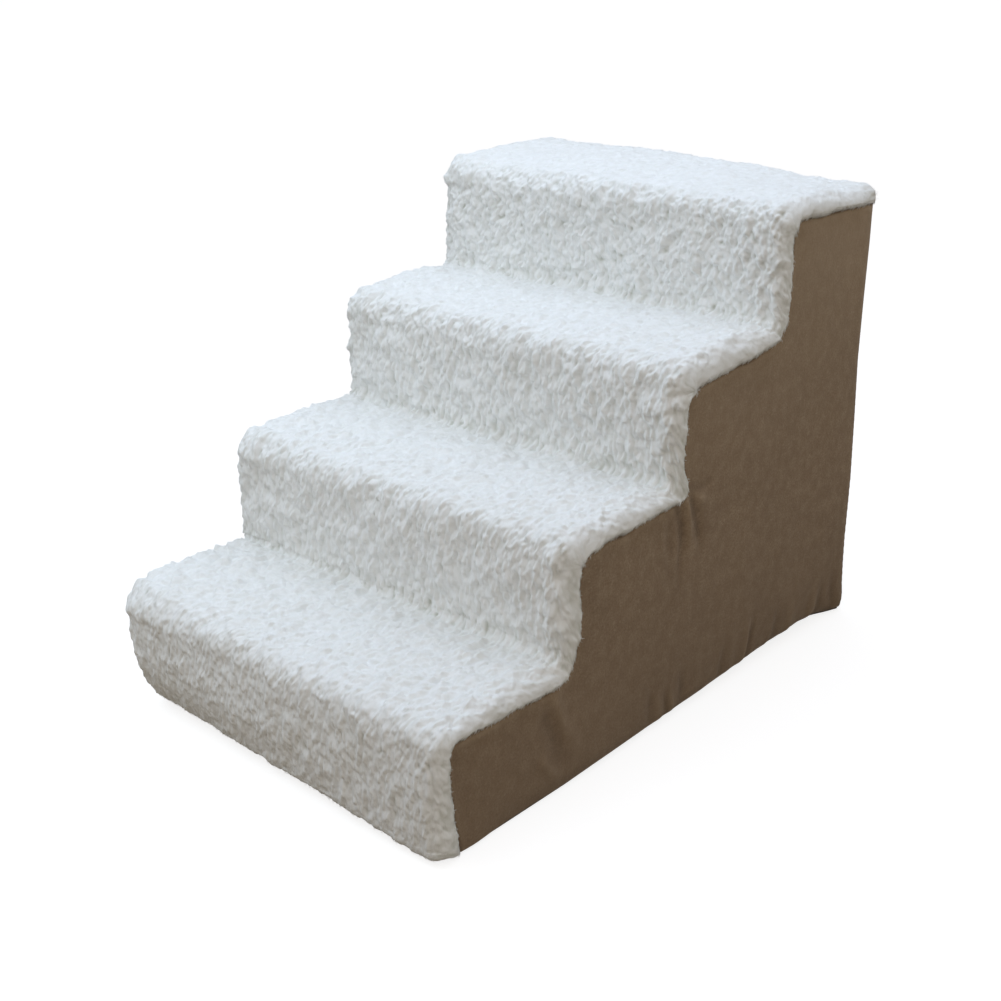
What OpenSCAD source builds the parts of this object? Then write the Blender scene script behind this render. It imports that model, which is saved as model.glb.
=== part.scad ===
// Foam pet stairs with four steps inside a removable fabric cover.
// X runs across the steps, the treads climb toward +Y, and Z = 0 is the floor.
// Four glued foam slabs carry one long fleece runner, two cloth sides, a cloth
// back with a zip near the floor, and a cloth base.
// The origin is on the floor, under the middle of the whole part.

/* [Steps] */
// Height of the foam core, shared by four equal slabs
core_height = 440; // [380:4:520]
// Depth of the foam core, shared by four equal treads
core_depth = 600; // [520:4:720]
// Width of the foam core
core_width = 408; // [360:2:520]
// Rounding at the front of each foam slab
nose_radius = 18; // [12:1:26]
// Rounding around the foot of the foam
foot_radius = 12; // [8:1:16]

/* [Fleece runner] */
// Thickness of the fleece on treads and risers
pile_depth = 10; // [7:0.5:14]
// Thickness of the fleece where it wraps onto a side
side_pile = 8; // [6:0.5:10]
// How far the fleece wraps down onto a side
side_wrap = 12; // [9:1:16]
// Rounding of the fleece along its two long edges
edge_round = 16; // [10:1:18]
// Height of the crown in the middle of a tread or riser
fleece_crown = 2; // [0.5:0.5:4]
// Rounding of the fleece where a tread meets a riser
crease_radius = 8; // [5:1:14]

/* [Cloth] */
// Thickness of the side and back cloth
cloth_thickness = 1.2; // [0.8:0.1:2]
// Thickness of the base cloth
base_thickness = 1.6; // [1:0.1:3]
// How far a side stands out in its middle
side_crown = 2.5; // [0.5:0.5:5]
// Height of the folds and gathers in a side
fold_height = 2; // [0.5:0.25:4]
// Width of one fold below the middle crease
fold_width = 16; // [12:1:20]
// Distance from one gather to the next at the foot of a side
gather_pitch = 44; // [36:1:56]
// Gap between soft pieces that lie on each other
fit_gap = 0.4; // [0.35:0.05:0.6]
// Gap at a sewn edge
seam_gap = 0.3; // [0.2:0.05:0.35]

/* [Zip] */
// Distance from each end of the zip's teeth to the side of the foam
zip_margin = 24; // [20:1:60]
// Height of the zip above the floor
zip_height = 48; // [44:1:60]
// Distance from one tooth to the next on one tape
tooth_pitch = 3; // [2.5:0.25:4]
// Width of the two closed rows together
chain_width = 6.4; // [6:0.2:8]
// Thickness of the teeth
tooth_thickness = 2.6; // [2.2:0.1:3.2]
// Thickness of a zip tape
tape_thickness = 0.6; // [0.4:0.1:0.8]
// Reach of a tape from the middle of the zip
tape_reach = 16; // [15:0.5:18]
// Free space from the middle of the zip to the cloth
zip_window = 8.2; // [8.2:0.2:10]
// Height over which the back cloth eases out to the zip
zip_ease = 40; // [30:1:60]
// Length of a stop along the zip
stop_length = 2.4; // [2:0.2:4]

/* [Slider] */
// Length of the slider
slider_length = 14; // [12:0.5:16]
// Thickness of each slider plate
plate_thickness = 1; // [0.8:0.1:1.4]
// Thickness of the slider's side flanges
flange_thickness = 1.5; // [1.2:0.1:1.8]
// Extra width at the slider's wide mouth, on each side
mouth_spread = 2; // [1.5:0.1:2.2]
// Clearance between the slider and what runs in it
slide_play = 0.3; // [0.2:0.05:0.4]
// Thickness of the bridge that holds the pull
bridge_thickness = 1; // [0.8:0.1:1.4]
// Width of the bridge
bridge_width = 1.6; // [1.2:0.1:2]
// Length of the pull
pull_length = 26; // [20:1:32]
// Width of the pull
pull_width = 7; // [6.5:0.5:9]
// Thickness of the pull
pull_thickness = 1.2; // [1:0.1:1.6]

/* [Hidden] */

fleece_colour = [0.86, 0.86, 0.85];
cloth_colour = [0.38, 0.32, 0.26];
foam_colour = [0.93, 0.9, 0.8];
zip_colour = [0.3, 0.25, 0.2];
metal_colour = [0.6, 0.58, 0.55];

// Foam core
step_count = 4;
step_rise = core_height / step_count;
step_going = core_depth / step_count;
half_core = core_width / 2;
core_base = base_thickness;
core_top = core_base + core_height;
foot_angles = [75, 50, 25, 0];
nose_angles = [for (i = [0:5]) i * 18];
crease_angles = [0, 45, 90];
tread_shares = [0.25, 0.75];

// Fleece section: its long edges, and where it is crowned
round_radius = min(edge_round, pile_depth + side_wrap * 0.5);
edge_angles = [for (i = [0:4]) i * 22.5];
lip_share = 0.45;
shoulder_share = 0.86;
shoulder_rise_share = 0.3;
middle_shares = [0.6, 0, -0.6];
hem_radius = pile_depth * 0.8;
hem_angles = [30, 60, 90];
back_line = core_depth + fit_gap + cloth_thickness;

// Cloth
seam_line = -side_wrap - seam_gap;
edge_line = core_depth + fit_gap - seam_gap;
row_count = 11;
gather_columns = 18;
fold_column = 2 * step_going;
fold_drop = step_rise * 0.8;
gather_rise = step_rise * 0.45;

// Zip, measured from its middle line
chain_half = chain_width / 2;
tooth_half = tooth_thickness / 2;
tape_half = tape_thickness / 2;
zip_plane = core_depth + fit_gap + plate_thickness + slide_play + tooth_half;
bead_width = chain_half * 0.36;
tooth_reach = chain_half * 0.52;
tooth_width = tooth_pitch / 2 - slide_play;
chain_start = zip_margin - half_core;
chain_end = half_core - zip_margin;
tooth_count = floor((chain_end - chain_start) / tooth_pitch);
stop_reach = chain_half + flange_thickness;
stop_half = tooth_half * 1.15;

// Slider at the closed end of the zip
slider_half = slider_length / 2;
slider_x = chain_start + slide_play;
inner_face = tooth_half + slide_play;
outer_face = inner_face + plate_thickness;
throat_half = chain_half + slide_play;
narrow_half = throat_half + flange_thickness;
wide_half = narrow_half + mouth_spread;
corner_radius = flange_thickness * 0.6;
pin_radius = pull_thickness / 2;
pin_height = outer_face + slide_play + pin_radius;
bridge_inner = pin_height + pin_radius + slide_play;
bridge_outer = bridge_inner + bridge_thickness;
bridge_half = slider_half * 0.6;
slider_travel = chain_end - slider_half - slider_x;
slot_half = tape_half + slide_play;
eye_half = bridge_width / 2 + slide_play * 2;
eye_length = bridge_half + slide_play * 4;

// The whole part reaches from the first riser's crown to the bridge
front_reach = -pile_depth - fleece_crown;
back_reach = zip_plane + bridge_outer;
depth_shift = -(front_reach + back_reach) / 2;

function between(a, b, t) = a + (b - a) * t;
function limit(v) = max(0, min(1, v));

// Rounding of the foot: height of a level, and how far it is set in
function foot_level(b) = core_base + foot_radius * (1 - sin(b));
function foot_inset(b) = foot_radius * (1 - cos(b));

// Front line at the foot, s outward from the foam
function foot_front(s, b) = s <= 0 ? foot_inset(b) - s :
    foot_radius - sqrt(pow(foot_radius + s, 2) - pow(foot_radius * sin(b), 2));

function slab_top(k) = core_base + (k + 1) * step_rise;
function nose_at(s) = max(nose_radius + s, nose_radius / 4);
function riser_middle(s, k) = between(
    k == 0 ? core_base + foot_radius : slab_top(k - 1) + s + crease_radius,
    slab_top(k) + s - nose_at(s), 1 / 2);

// Points of one step at s from the foam, as depth, height and side inset
function step_line(s, k) = let (
        front = k * step_going - s,
        next = (k + 1) * step_going - s,
        top = slab_top(k) + s,
        r = nose_at(s),
        crown = fleece_crown * limit(s / pile_depth),
        last = k == step_count - 1 ? core_depth - hem_radius : next - crease_radius)
    concat(
        [[front - crown, riser_middle(s, k), 0]],
        [for (a = nose_angles) [front + r - r * cos(a), top - r + r * sin(a), 0]],
        [for (t = tread_shares) [between(front + r, last, t), top + crown, 0]],
        k == step_count - 1 ? [] : [for (a = crease_angles)
            [last + crease_radius * sin(a), top + crease_radius * (1 - cos(a)), 0]]);

// The hem rolls down onto the back edge
function hem_line(s) = [for (a = hem_angles)
    [back_line - hem_radius * (1 - sin(a)),
     core_top + s - hem_radius * (1 - cos(a)) * limit(s / pile_depth), 0]];

// Whole stair line from the foot of the first riser to the back
function stair_line(s) = concat(
    [for (b = foot_angles) [foot_front(s, b), foot_level(b), foot_inset(b)]],
    step_line(s, 0), step_line(s, 1), step_line(s, 2), step_line(s, 3),
    hem_line(s));

// Section of the fleece at one long edge: outward from the side, then s
edge_run = concat(
    [[fit_gap, -side_wrap],
     [side_pile * lip_share, -side_wrap],
     [side_pile * shoulder_share, -side_wrap * (1 - shoulder_rise_share)]],
    [for (a = edge_angles) [side_pile - round_radius * (1 - cos(a)),
        pile_depth - round_radius * (1 - sin(a))]]);
edge_points = len(edge_run);
section = concat(
    [for (p = edge_run) [half_core + p[0], p[1], 1]],
    [for (m = middle_shares) [half_core * m, pile_depth, 0]],
    [for (i = [edge_points - 1:-1:0])
        [-half_core - edge_run[i][0], edge_run[i][1], -1]],
    [[-half_core - fit_gap, fit_gap, -1], [half_core + fit_gap, fit_gap, 1]]);

// Two triangles for each cell of a grid that is closed across its rows
function tube_faces(rows, cols) = [for (i = [0:rows - 2]) for (j = [0:cols - 1])
    let (a = i * cols + j, b = i * cols + (j + 1) % cols, c = a + cols, d = b + cols)
    each [[a, b, d], [a, d, c]]];

// Triangles that close one end of the fleece between its two inner corners
function end_faces(base, cols) = let (right = base + cols - 1, left = base + cols - 2,
        first = edge_points, mid = edge_points + 1, end = 2 * edge_points + 2)
    concat(
        [for (j = [0:mid - 1]) [right, base + j + 1, base + j]],
        [[right, left, base + mid]],
        [for (j = [mid:end - 1]) [left, base + j + 1, base + j]]);
function flipped(faces) = [for (f = faces) [f[2], f[1], f[0]]];

// Moves a piece from the first riser's foam line to the part's origin
module place()
    translate([0, depth_shift, 0])
        children();

// Turns a flat shape in depth and height, and gives it the width w
module across(w)
    rotate([90, 0, 90])
        linear_extrude(height = w, center = true)
            children();

// Stands a flat shape in width and height up, from depth y, d deep
module upright(y, d)
    translate([0, y + d, 0])
        rotate([90, 0, 0])
            linear_extrude(height = d)
                children();

// Closed sheet between two grids of points with equal rows
module sheet(outer, inner) {
    rows = len(outer);
    cols = len(outer[0]);
    n = rows * cols;
    points = concat([for (r = outer) each r], [for (r = inner) each r]);
    skin = [for (i = [0:rows - 2]) for (j = [0:cols - 2])
        let (a = i * cols + j, b = a + 1, c = a + cols, d = b + cols)
        each [[a, c, d], [a, d, b]]];
    ends = [for (i = [0, rows - 1]) for (j = [0:cols - 2])
        let (a = i * cols + j, b = a + 1)
        each i == 0 ? [[a, b, b + n], [a, b + n, a + n]]
                    : [[a, b + n, b], [a, a + n, b + n]]];
    sides = [for (j = [0, cols - 1]) for (i = [0:rows - 2])
        let (a = i * cols + j, b = a + cols)
        each j == 0 ? [[a, b + n, b], [a, a + n, b + n]]
                    : [[a, b, b + n], [a, b + n, a + n]]];
    polyhedron(points = points, faces = concat(skin,
        [for (f = skin) [f[2] + n, f[1] + n, f[0] + n]], ends, sides));
}

// Outline of the core's width, with its rounded foot
module core_front()
    polygon(concat(
        [for (b = [90, each foot_angles]) [half_core - foot_inset(b), foot_level(b)]],
        [[half_core, core_top], [-half_core, core_top]],
        [for (i = [len(foot_angles) - 1:-1:0])
            [foot_inset(foot_angles[i]) - half_core, foot_level(foot_angles[i])]],
        [[foot_inset(90) - half_core, core_base]]));

// Slab k counts from the floor and is cut off square at the back
module slab_side(k)
    polygon(concat(
        k == 0 ? [for (b = [90, each foot_angles]) [foot_inset(b), foot_level(b)]]
               : [[k * step_going, slab_top(k - 1)]],
        [for (a = nose_angles) [k * step_going + nose_radius * (1 - cos(a)),
            slab_top(k) - nose_radius * (1 - sin(a))]],
        [[core_depth, slab_top(k)]],
        k == 0 ? [for (i = [len(foot_angles) - 1:-1:0])
                    [core_depth - foot_inset(foot_angles[i]), foot_level(foot_angles[i])]]
               : [],
        [k == 0 ? [core_depth - foot_inset(90), core_base]
                : [core_depth, slab_top(k - 1)]]));

module foam_slab(k)
    color(foam_colour)
        place()
            intersection() {
                across(core_width)
                    slab_side(k);
                upright(0, core_depth)
                    core_front();
            }

module foam_slab_1() foam_slab(0);
module foam_slab_2() foam_slab(1);
module foam_slab_3() foam_slab(2);
module foam_slab_4() foam_slab(3);

module fleece_runner() {
    lines = [for (p = section) stair_line(p[1])];
    rows = len(lines[0]);
    cols = len(section);
    color(fleece_colour)
        place()
            polyhedron(
                points = [for (i = [0:rows - 1]) for (j = [0:cols - 1])
                    [section[j][0] - section[j][2] * lines[j][i][2],
                     lines[j][i][0], lines[j][i][1]]],
                faces = concat(tube_faces(rows, cols), end_faces(0, cols),
                    flipped(end_faces((rows - 1) * cols, cols))));
}

// How far inside the stair outline a point of a side lies
function side_depth(y, z) = let (
        r = min(step_count - 1, floor(limit((z - core_base) / core_height) * step_count)),
        k = min(step_count - 1, floor(limit(y / core_depth) * step_count)))
    max(0, min(y - r * step_going, slab_top(k) - z, core_depth - y));

// Two folds hang below the middle crease, gathers rise from the foot
function fold_at(y, z) = let (
        drop = limit((slab_top(1) - z) / fold_drop),
        near = z < slab_top(1) ? sin(180 * drop) : 0)
    near * (exp(-pow((y - fold_column) / fold_width, 2))
        - exp(-pow((y - fold_column - 2 * fold_width) / fold_width, 2)) / 2);
function gather_at(y, z) = limit((y - fold_column) / step_going)
    * exp(-pow((z - core_base - foot_radius) / gather_rise, 2))
    * (1 + cos(360 * y / gather_pitch)) / 2;
function side_lift(y, z) = let (
        deep = 1 - exp(-side_depth(y, z) / (3 * side_wrap)))
    deep * (side_crown + fold_height * max(-0.5, fold_at(y, z)))
        + deep * fold_height / 2 * gather_at(y, z);

// Rows follow the foot first; columns are closest where the folds are
side_rows = concat(
    [for (b = foot_angles) [foot_level(b), foot_inset(b)]],
    [for (i = [1:row_count])
        [between(core_base + foot_radius, core_top, i / row_count), 0]]);
side_columns = concat(
    [for (i = [0:5]) between(0, fold_column - 2 * fold_width, i / 6)],
    [for (i = [0:7]) fold_column + (i - 4) * fold_width / 2],
    [for (i = [0:gather_columns]) between(fold_column + 2 * fold_width,
        core_depth + cloth_thickness, i / gather_columns)]);

module side_outline()
    polygon(concat(
        [for (p = stair_line(seam_line)) if (p[0] < core_depth - hem_radius / 2)
            [p[0], p[1]]],
        [[edge_line, core_top + seam_line]],
        [for (i = [len(foot_angles) - 1:-1:0])
            [edge_line - foot_inset(foot_angles[i]), foot_level(foot_angles[i])]]));

module side_panel(side) {
    inner = [for (r = side_rows) [for (y = side_columns)
        [half_core + fit_gap - r[1] + (r[1] > 0 ? 0 : side_lift(y, r[0])), y, r[0]]]];
    outer = [for (r = inner) [for (p = r) [p[0] + cloth_thickness, p[1], p[2]]]];
    color(cloth_colour)
        place()
            mirror([side > 0 ? 0 : 1, 0, 0])
                intersection() {
                    sheet(outer, inner);
                    translate([half_core, 0, 0])
                        across(core_width)
                            side_outline();
                }
}

module side_panel_left() side_panel(-1);
module side_panel_right() side_panel(1);

// Width of the back cloth at each height, notched for the fleece's ends
back_half = half_core + fit_gap + cloth_thickness;
module back_outline() {
    right = concat(
        [for (b = foot_angles) [back_half - foot_inset(b), foot_level(b)]],
        [[back_half, core_top + seam_line],
         [half_core + fit_gap - seam_gap, core_top + seam_line],
         [half_core + fit_gap - seam_gap, core_top - seam_gap]]);
    polygon(concat(right,
        [for (i = [len(right) - 1:-1:0]) [-right[i][0], right[i][1]]]));
}

// Strip of cloth along a line of depth and height points
module cloth_strip(line)
    across(core_width + side_wrap)
        polygon(concat(line,
            [for (i = [len(line) - 1:-1:0]) [line[i][0] + cloth_thickness, line[i][1]]]));

module back_panel(line)
    color(cloth_colour)
        place()
            intersection() {
                cloth_strip(line);
                upright(core_depth - foot_radius, foot_radius + back_reach - core_depth)
                    back_outline();
            }

back_inner = core_depth + fit_gap;
tape_face = zip_plane + tape_half;
module back_panel_upper()
    back_panel([[tape_face, zip_height + zip_window],
        [tape_face, zip_height + tape_reach],
        [back_inner, zip_height + tape_reach + zip_ease],
        [back_inner, core_top + pile_depth]]);

module back_panel_lower()
    back_panel(concat(
        [for (b = foot_angles) [back_inner - foot_inset(b), foot_level(b)]],
        [[tape_face, zip_height - tape_reach],
         [tape_face, zip_height - zip_window]]));

module base_panel() {
    lap = foot_inset(foot_angles[0]) - fit_gap - cloth_thickness;
    front = foot_front(fit_gap, foot_angles[0]) + seam_gap;
    color(cloth_colour)
        place()
            translate([lap - half_core, front, 0])
                cube([core_width - 2 * lap, core_depth - lap - front, base_thickness]);
}

// Box around the zip's middle line: u along it, v across it, w out from it
module zip_box(u0, u1, v0, v1, w0, w1)
    translate([u0, zip_plane + w0, zip_height + v0])
        cube([u1 - u0, w1 - w0, v1 - v0]);

// Mirrors a piece about the zip's middle line
module zip_side(side)
    translate([0, 0, zip_height])
        mirror([0, 0, side > 0 ? 0 : 1])
            translate([0, 0, -zip_height])
                children();

module zip_tape(side)
    color(zip_colour)
        place()
            zip_side(side)
                zip_box(-half_core, half_core, chain_half, tape_reach, -tape_half, tape_half);

module zip_tape_upper() zip_tape(1);
module zip_tape_lower() zip_tape(-1);

// Moulded teeth stand on a bead; the two rows are half a pitch apart
module zip_teeth(side)
    color(zip_colour)
        place()
            zip_side(side) {
                zip_box(chain_start, chain_end, chain_half - bead_width, chain_half,
                    -tooth_half, tooth_half);
                for (i = [0:tooth_count - 1]) {
                    u = chain_start + (i + (side > 0 ? 0 : 1 / 2)) * tooth_pitch;
                    zip_box(u, u + tooth_width, -tooth_reach, chain_half - bead_width / 2,
                        -tooth_half, tooth_half);
                }
            }

module zip_teeth_upper() zip_teeth(1);
module zip_teeth_lower() zip_teeth(-1);

// One stop grips a tape's edge in its slot
module stop_clip(u, inner)
    difference() {
        zip_box(u, u + stop_length, inner, stop_reach, -stop_half, stop_half);
        zip_box(u - stop_length, u + 2 * stop_length, chain_half, stop_reach + chain_half,
            -tape_half, tape_half);
    }

module zip_top_stops()
    color(zip_colour)
        place()
            for (side = [-1, 1])
                zip_side(side)
                    stop_clip(slider_x - slider_half - slide_play - stop_length, bead_width);

module zip_bottom_stop()
    color(zip_colour)
        place()
            for (side = [-1, 1])
                zip_side(side)
                    stop_clip(chain_end + slide_play, 0);

// Plan of the slider: wide at the mouth that faces the stops
module slider_plan(narrow, wide, round)
    hull()
        for (side = [-1, 1]) {
            translate([slider_half - round, side * (narrow - round)])
                circle(r = round, $fn = 16);
            translate([round - slider_half, side * (wide - round)])
                circle(r = round, $fn = 16);
        }

module slider_layer(w0, w1)
    translate([slider_x, zip_plane + w0, zip_height])
        rotate([-90, 0, 0])
            linear_extrude(height = w1 - w0)
                children();

module zip_slider()
    color(metal_colour)
        place() {
            slider_layer(-outer_face, -inner_face)
                slider_plan(narrow_half, wide_half, corner_radius);
            slider_layer(inner_face, outer_face)
                slider_plan(narrow_half, wide_half, corner_radius);
            // Flanges beside the channel, open where the tapes pass
            for (w = [[-inner_face, -slot_half], [slot_half, inner_face]])
                slider_layer(w[0], w[1])
                    difference() {
                        slider_plan(narrow_half, wide_half, corner_radius);
                        polygon([[slider_length, throat_half], [slider_half, throat_half],
                            [-slider_half, throat_half + mouth_spread],
                            [-slider_length, throat_half + mouth_spread],
                            [-slider_length, -throat_half - mouth_spread],
                            [-slider_half, -throat_half - mouth_spread],
                            [slider_half, -throat_half], [slider_length, -throat_half]]);
                    }
            // Post that parts the two rows of teeth
            slider_layer(-inner_face, inner_face)
                polygon([[-slide_play * 2, 0], [-slider_half * 0.45, bead_width],
                    [-slider_half * 0.9, bead_width / 2],
                    [-slider_half * 0.9, -bead_width / 2],
                    [-slider_half * 0.45, -bead_width]]);
            // Bridge over the pull's pin
            difference() {
                zip_box(slider_x - bridge_half, slider_x + bridge_half,
                    -bridge_width / 2, bridge_width / 2, outer_face, bridge_outer);
                zip_box(slider_x - bridge_half + bridge_thickness,
                    slider_x + bridge_half - bridge_thickness,
                    -bridge_width, bridge_width, outer_face, bridge_inner);
            }
        }

// The pull lies along the closed teeth and turns about its own pin
module zip_pull()
    color(metal_colour)
        place()
            translate([slider_x, zip_plane + pin_height, zip_height]) {
                cylinder(h = pull_width, r = pin_radius, center = true, $fn = 32);
                rotate([-90, 0, 0])
                    linear_extrude(height = pull_thickness, center = true)
                        difference() {
                            union() {
                                translate([0, -pull_width / 2])
                                    square([pull_length - pull_width / 2, pull_width]);
                                translate([pull_length - pull_width / 2, 0])
                                    circle(d = pull_width, $fn = 48);
                            }
                            translate([0, -eye_half])
                                square([eye_length, 2 * eye_half]);
                        }
            }

foam_slab_1();
foam_slab_2();
foam_slab_3();
foam_slab_4();
fleece_runner();
side_panel_left();
side_panel_right();
back_panel_upper();
back_panel_lower();
base_panel();
zip_tape_upper();
zip_tape_lower();
zip_teeth_upper();
zip_teeth_lower();
zip_top_stops();
zip_bottom_stop();
zip_slider();
zip_pull();
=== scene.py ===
"""Looks of the foam pet stairs: lambswool-like fleece over the steps, brushed brown cloth on the
sides and back, a woven base, and a zip near the floor at the back.

Lengths are in millimetres until a mesh is made. Depth runs from the front of the foam, and place()
moves a shape into the frame. Every random choice has a fixed seed."""

import math
from types import SimpleNamespace

import bpy
import numpy as np
from mathutils import Matrix, Vector, geometry


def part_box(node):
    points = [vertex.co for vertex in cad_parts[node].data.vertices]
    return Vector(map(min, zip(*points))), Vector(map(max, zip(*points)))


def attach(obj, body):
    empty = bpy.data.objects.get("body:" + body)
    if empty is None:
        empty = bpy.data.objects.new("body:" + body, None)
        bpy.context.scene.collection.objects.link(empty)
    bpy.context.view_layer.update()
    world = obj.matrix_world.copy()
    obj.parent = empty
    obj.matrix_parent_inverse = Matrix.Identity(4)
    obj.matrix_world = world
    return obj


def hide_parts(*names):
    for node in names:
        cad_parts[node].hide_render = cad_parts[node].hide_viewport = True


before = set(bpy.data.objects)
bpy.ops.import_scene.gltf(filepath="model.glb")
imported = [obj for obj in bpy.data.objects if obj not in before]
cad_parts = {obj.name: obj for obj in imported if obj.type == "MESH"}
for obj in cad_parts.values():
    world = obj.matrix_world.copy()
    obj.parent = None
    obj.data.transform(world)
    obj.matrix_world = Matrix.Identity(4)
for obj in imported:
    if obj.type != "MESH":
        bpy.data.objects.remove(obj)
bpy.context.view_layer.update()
MM = 0.001

# sizes from the frame
slab_low, slab_high = (np.array(corner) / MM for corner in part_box("foam_slab_1"))
top_high = np.array(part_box("foam_slab_4")[1]) / MM
FRONT = slab_low[1]
HALF = slab_high[0]
DEPTH = slab_high[1] - slab_low[1]
FLOOR = slab_low[2]
TOP = top_high[2]
STEPS = 4
RISE = (TOP - FLOOR) / STEPS
GOING = DEPTH / STEPS

# the foam's rounded nose and foot, and the pile over it
NOSE = 18.0
FOOT = 12.0
PILE = 10.0
SIDE_PILE = 8.0
EDGE_ROUND = 16.0
CREASE = 8.0
HEM = 8.0
CROWN = 2.2
LIP_IN = 3.8
TREAD_LIFE = (1.5, 1.25, 1, 0.55)

# the cloth, its gap to the foam, the outer faces of the cover, and the rounding of its foot
CLOTH = 1.2
GAP = 0.4
BACKING = 0.8
NEAR = GAP + BACKING
SIDE_LINE = HALF + GAP + CLOTH
BACK_LINE = DEPTH + GAP + CLOTH
BACK_FOOT = 16.0
HEEL = 3.0
HALFWAY = 0.293

# the zip: its line, its ends, half the opening in the cloth, and its teeth and stitches
ZIP_Z = 48.0
ZIP_Y = 603.0
TAPE_HALF = 0.25
TAPE_FACE = 603.3
TAPE_IN = 1.2
ZIP_END = 24.0
WINDOW = 8.2
PITCH = 3.0
STITCH_LINE = 11.0

# distances between the points of the pile, along the fleece and across it
ROW = 1.0
COL = 0.76


# noise and small helpers
def steady(ix, iy, seed):
    """Pseudo-random numbers from 0 to 1 for whole-number cells."""
    h = (ix.astype(np.int64) * 374761393 + iy.astype(np.int64) * 668265263 + seed * 974711) & 0xFFFFFFFF
    h = ((h ^ (h >> 13)) * 1274126177) & 0xFFFFFFFF
    return ((h ^ (h >> 16)) & 0xFFFFFF) / float(0xFFFFFF)


def noise(x, y, seed=0):
    """Smooth noise from -1 to 1."""
    x, y = np.broadcast_arrays(np.asarray(x, float), np.asarray(y, float))
    ix, iy = np.floor(x), np.floor(y)
    fx, fy = x - ix, y - iy
    fx = fx * fx * fx * (fx * (fx * 6 - 15) + 10)
    fy = fy * fy * fy * (fy * (fy * 6 - 15) + 10)
    a, b = steady(ix, iy, seed), steady(ix + 1, iy, seed)
    c, d = steady(ix, iy + 1, seed), steady(ix + 1, iy + 1, seed)
    return ((a * (1 - fx) + b * fx) * (1 - fy) + (c * (1 - fx) + d * fx) * fy) * 2 - 1


def smooth(t):
    """A soft step from 0 to 1."""
    t = np.clip(t, 0, 1)
    return t * t * (3 - 2 * t)


def mix(a, b, t):
    return a + (b - a) * t


def by_step(step, *values):
    """A value for each of the four steps, and between them where a crease lies."""
    return np.interp(step, [0, 1, 2, 3], values)


def unit(v):
    return v / np.maximum(np.linalg.norm(v, axis=-1, keepdims=True), 1e-9)


def run_of(path):
    """How far along a line of points each of them lies."""
    return np.append(0, np.cumsum(np.linalg.norm(np.diff(path, axis=0), axis=1)))


def on_line(path, at):
    """The points at given distances along a line of points."""
    return np.stack([np.interp(at, run_of(path), column) for column in path.T], -1)


# how the cover pulls the foot in
def foot_round(y, x=1.0):
    """Rounding between a side and the base. On the right it grows toward the back."""
    right = np.interp(y, [0, 60, 150, 300, 450, 530, 565, 585, 600], [1.5, 2, 3.5, 9, 15, 17, 14, 8, 5])
    left = np.interp(y, [0, 60, 200, 400, 560, 600], [9, 8, 7, 8, 8, 5])
    return np.where(np.asarray(x) < 0, left, right)


def back_round(z):
    """Rounding of the upright corner between a side and the back."""
    return np.interp(z, [0, 60, 445], [6, 5, 3])


def rounded(past, radius, most=0.99):
    """How far a rounded edge draws in, a distance past the start of its rounding. HALFWAY of
    the radius is drawn in where the rounding runs at 45 degrees."""
    share = np.clip(past / radius, 0, most)
    return radius - np.sqrt(radius * radius - (radius * share) ** 2)


def corner_round(x, z):
    """How far the back draws in at its upright corners."""
    radius = back_round(z)
    return rounded(np.abs(x) - SIDE_LINE + radius, radius)


def tuck(p):
    """The cover draws the lower edges in under the foam, and pulls the back corners forward.
    The top bows a little at the back and tips toward the right."""
    x, y, z = p[..., 0], p[..., 1], p[..., 2]
    low = np.clip(1 - z / 70, 0, 1) ** 2
    lean = np.interp(z, [0, 25, 35, 45, 60, 80, 100, 118, 135],
                     [.72, .72, .8, .81, .73, .56, .37, .22, 0])
    right = np.interp(y, [0, 150, 280, 350, 410, 450, 530, 560, 580, 600],
                      [0, 0, 2.5, 5, 8, 10, 12, 11, 6, 2])
    left = 7 + 11 * np.exp(-(y / 150) ** 2)
    out = np.abs(x) / HALF
    move_x = np.where(x > 0, -right * low, left * lean) * np.minimum(out, 1.1) ** 4
    front = np.interp(x, [-210, -140, -70, 0, 100, 160, 210], [22, 18, 13, 7, 1, -3, -3])
    near = np.clip(1 - y / 130, 0, 1) ** 2
    under = np.clip(1 - z / 28, 0, 1) ** 2 * np.clip((y - 480) / 120, 0, 1) ** 2
    corner = np.interp(z, [0, 14, 30, 55, 82, 120, 150, 212, 275, 334, 393, 425],
                       [1, 1.5, 5.5, 7.5, 7.5, 5, 3.3, 3.3, 4, 0.5, -3.8, -5])
    corner = corner * smooth((np.abs(x) - 180) / 24) * smooth((y - DEPTH + 50) / 45)
    corner = corner * np.where(x < 0, 0.5, 1.0)
    tip = np.interp(x, [-210, -170, -120, -50, 20, 80, 140, 210], [0, 1.5, 3.8, 3.5, 2.5, 1, -3.4, -7.4])
    tip = tip * smooth((y - 470) / 120) * smooth((z - TOP + 16) / 26)
    return np.stack([x + move_x, y + front * low * near - 5 * under - corner, z + tip], -1)


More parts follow.
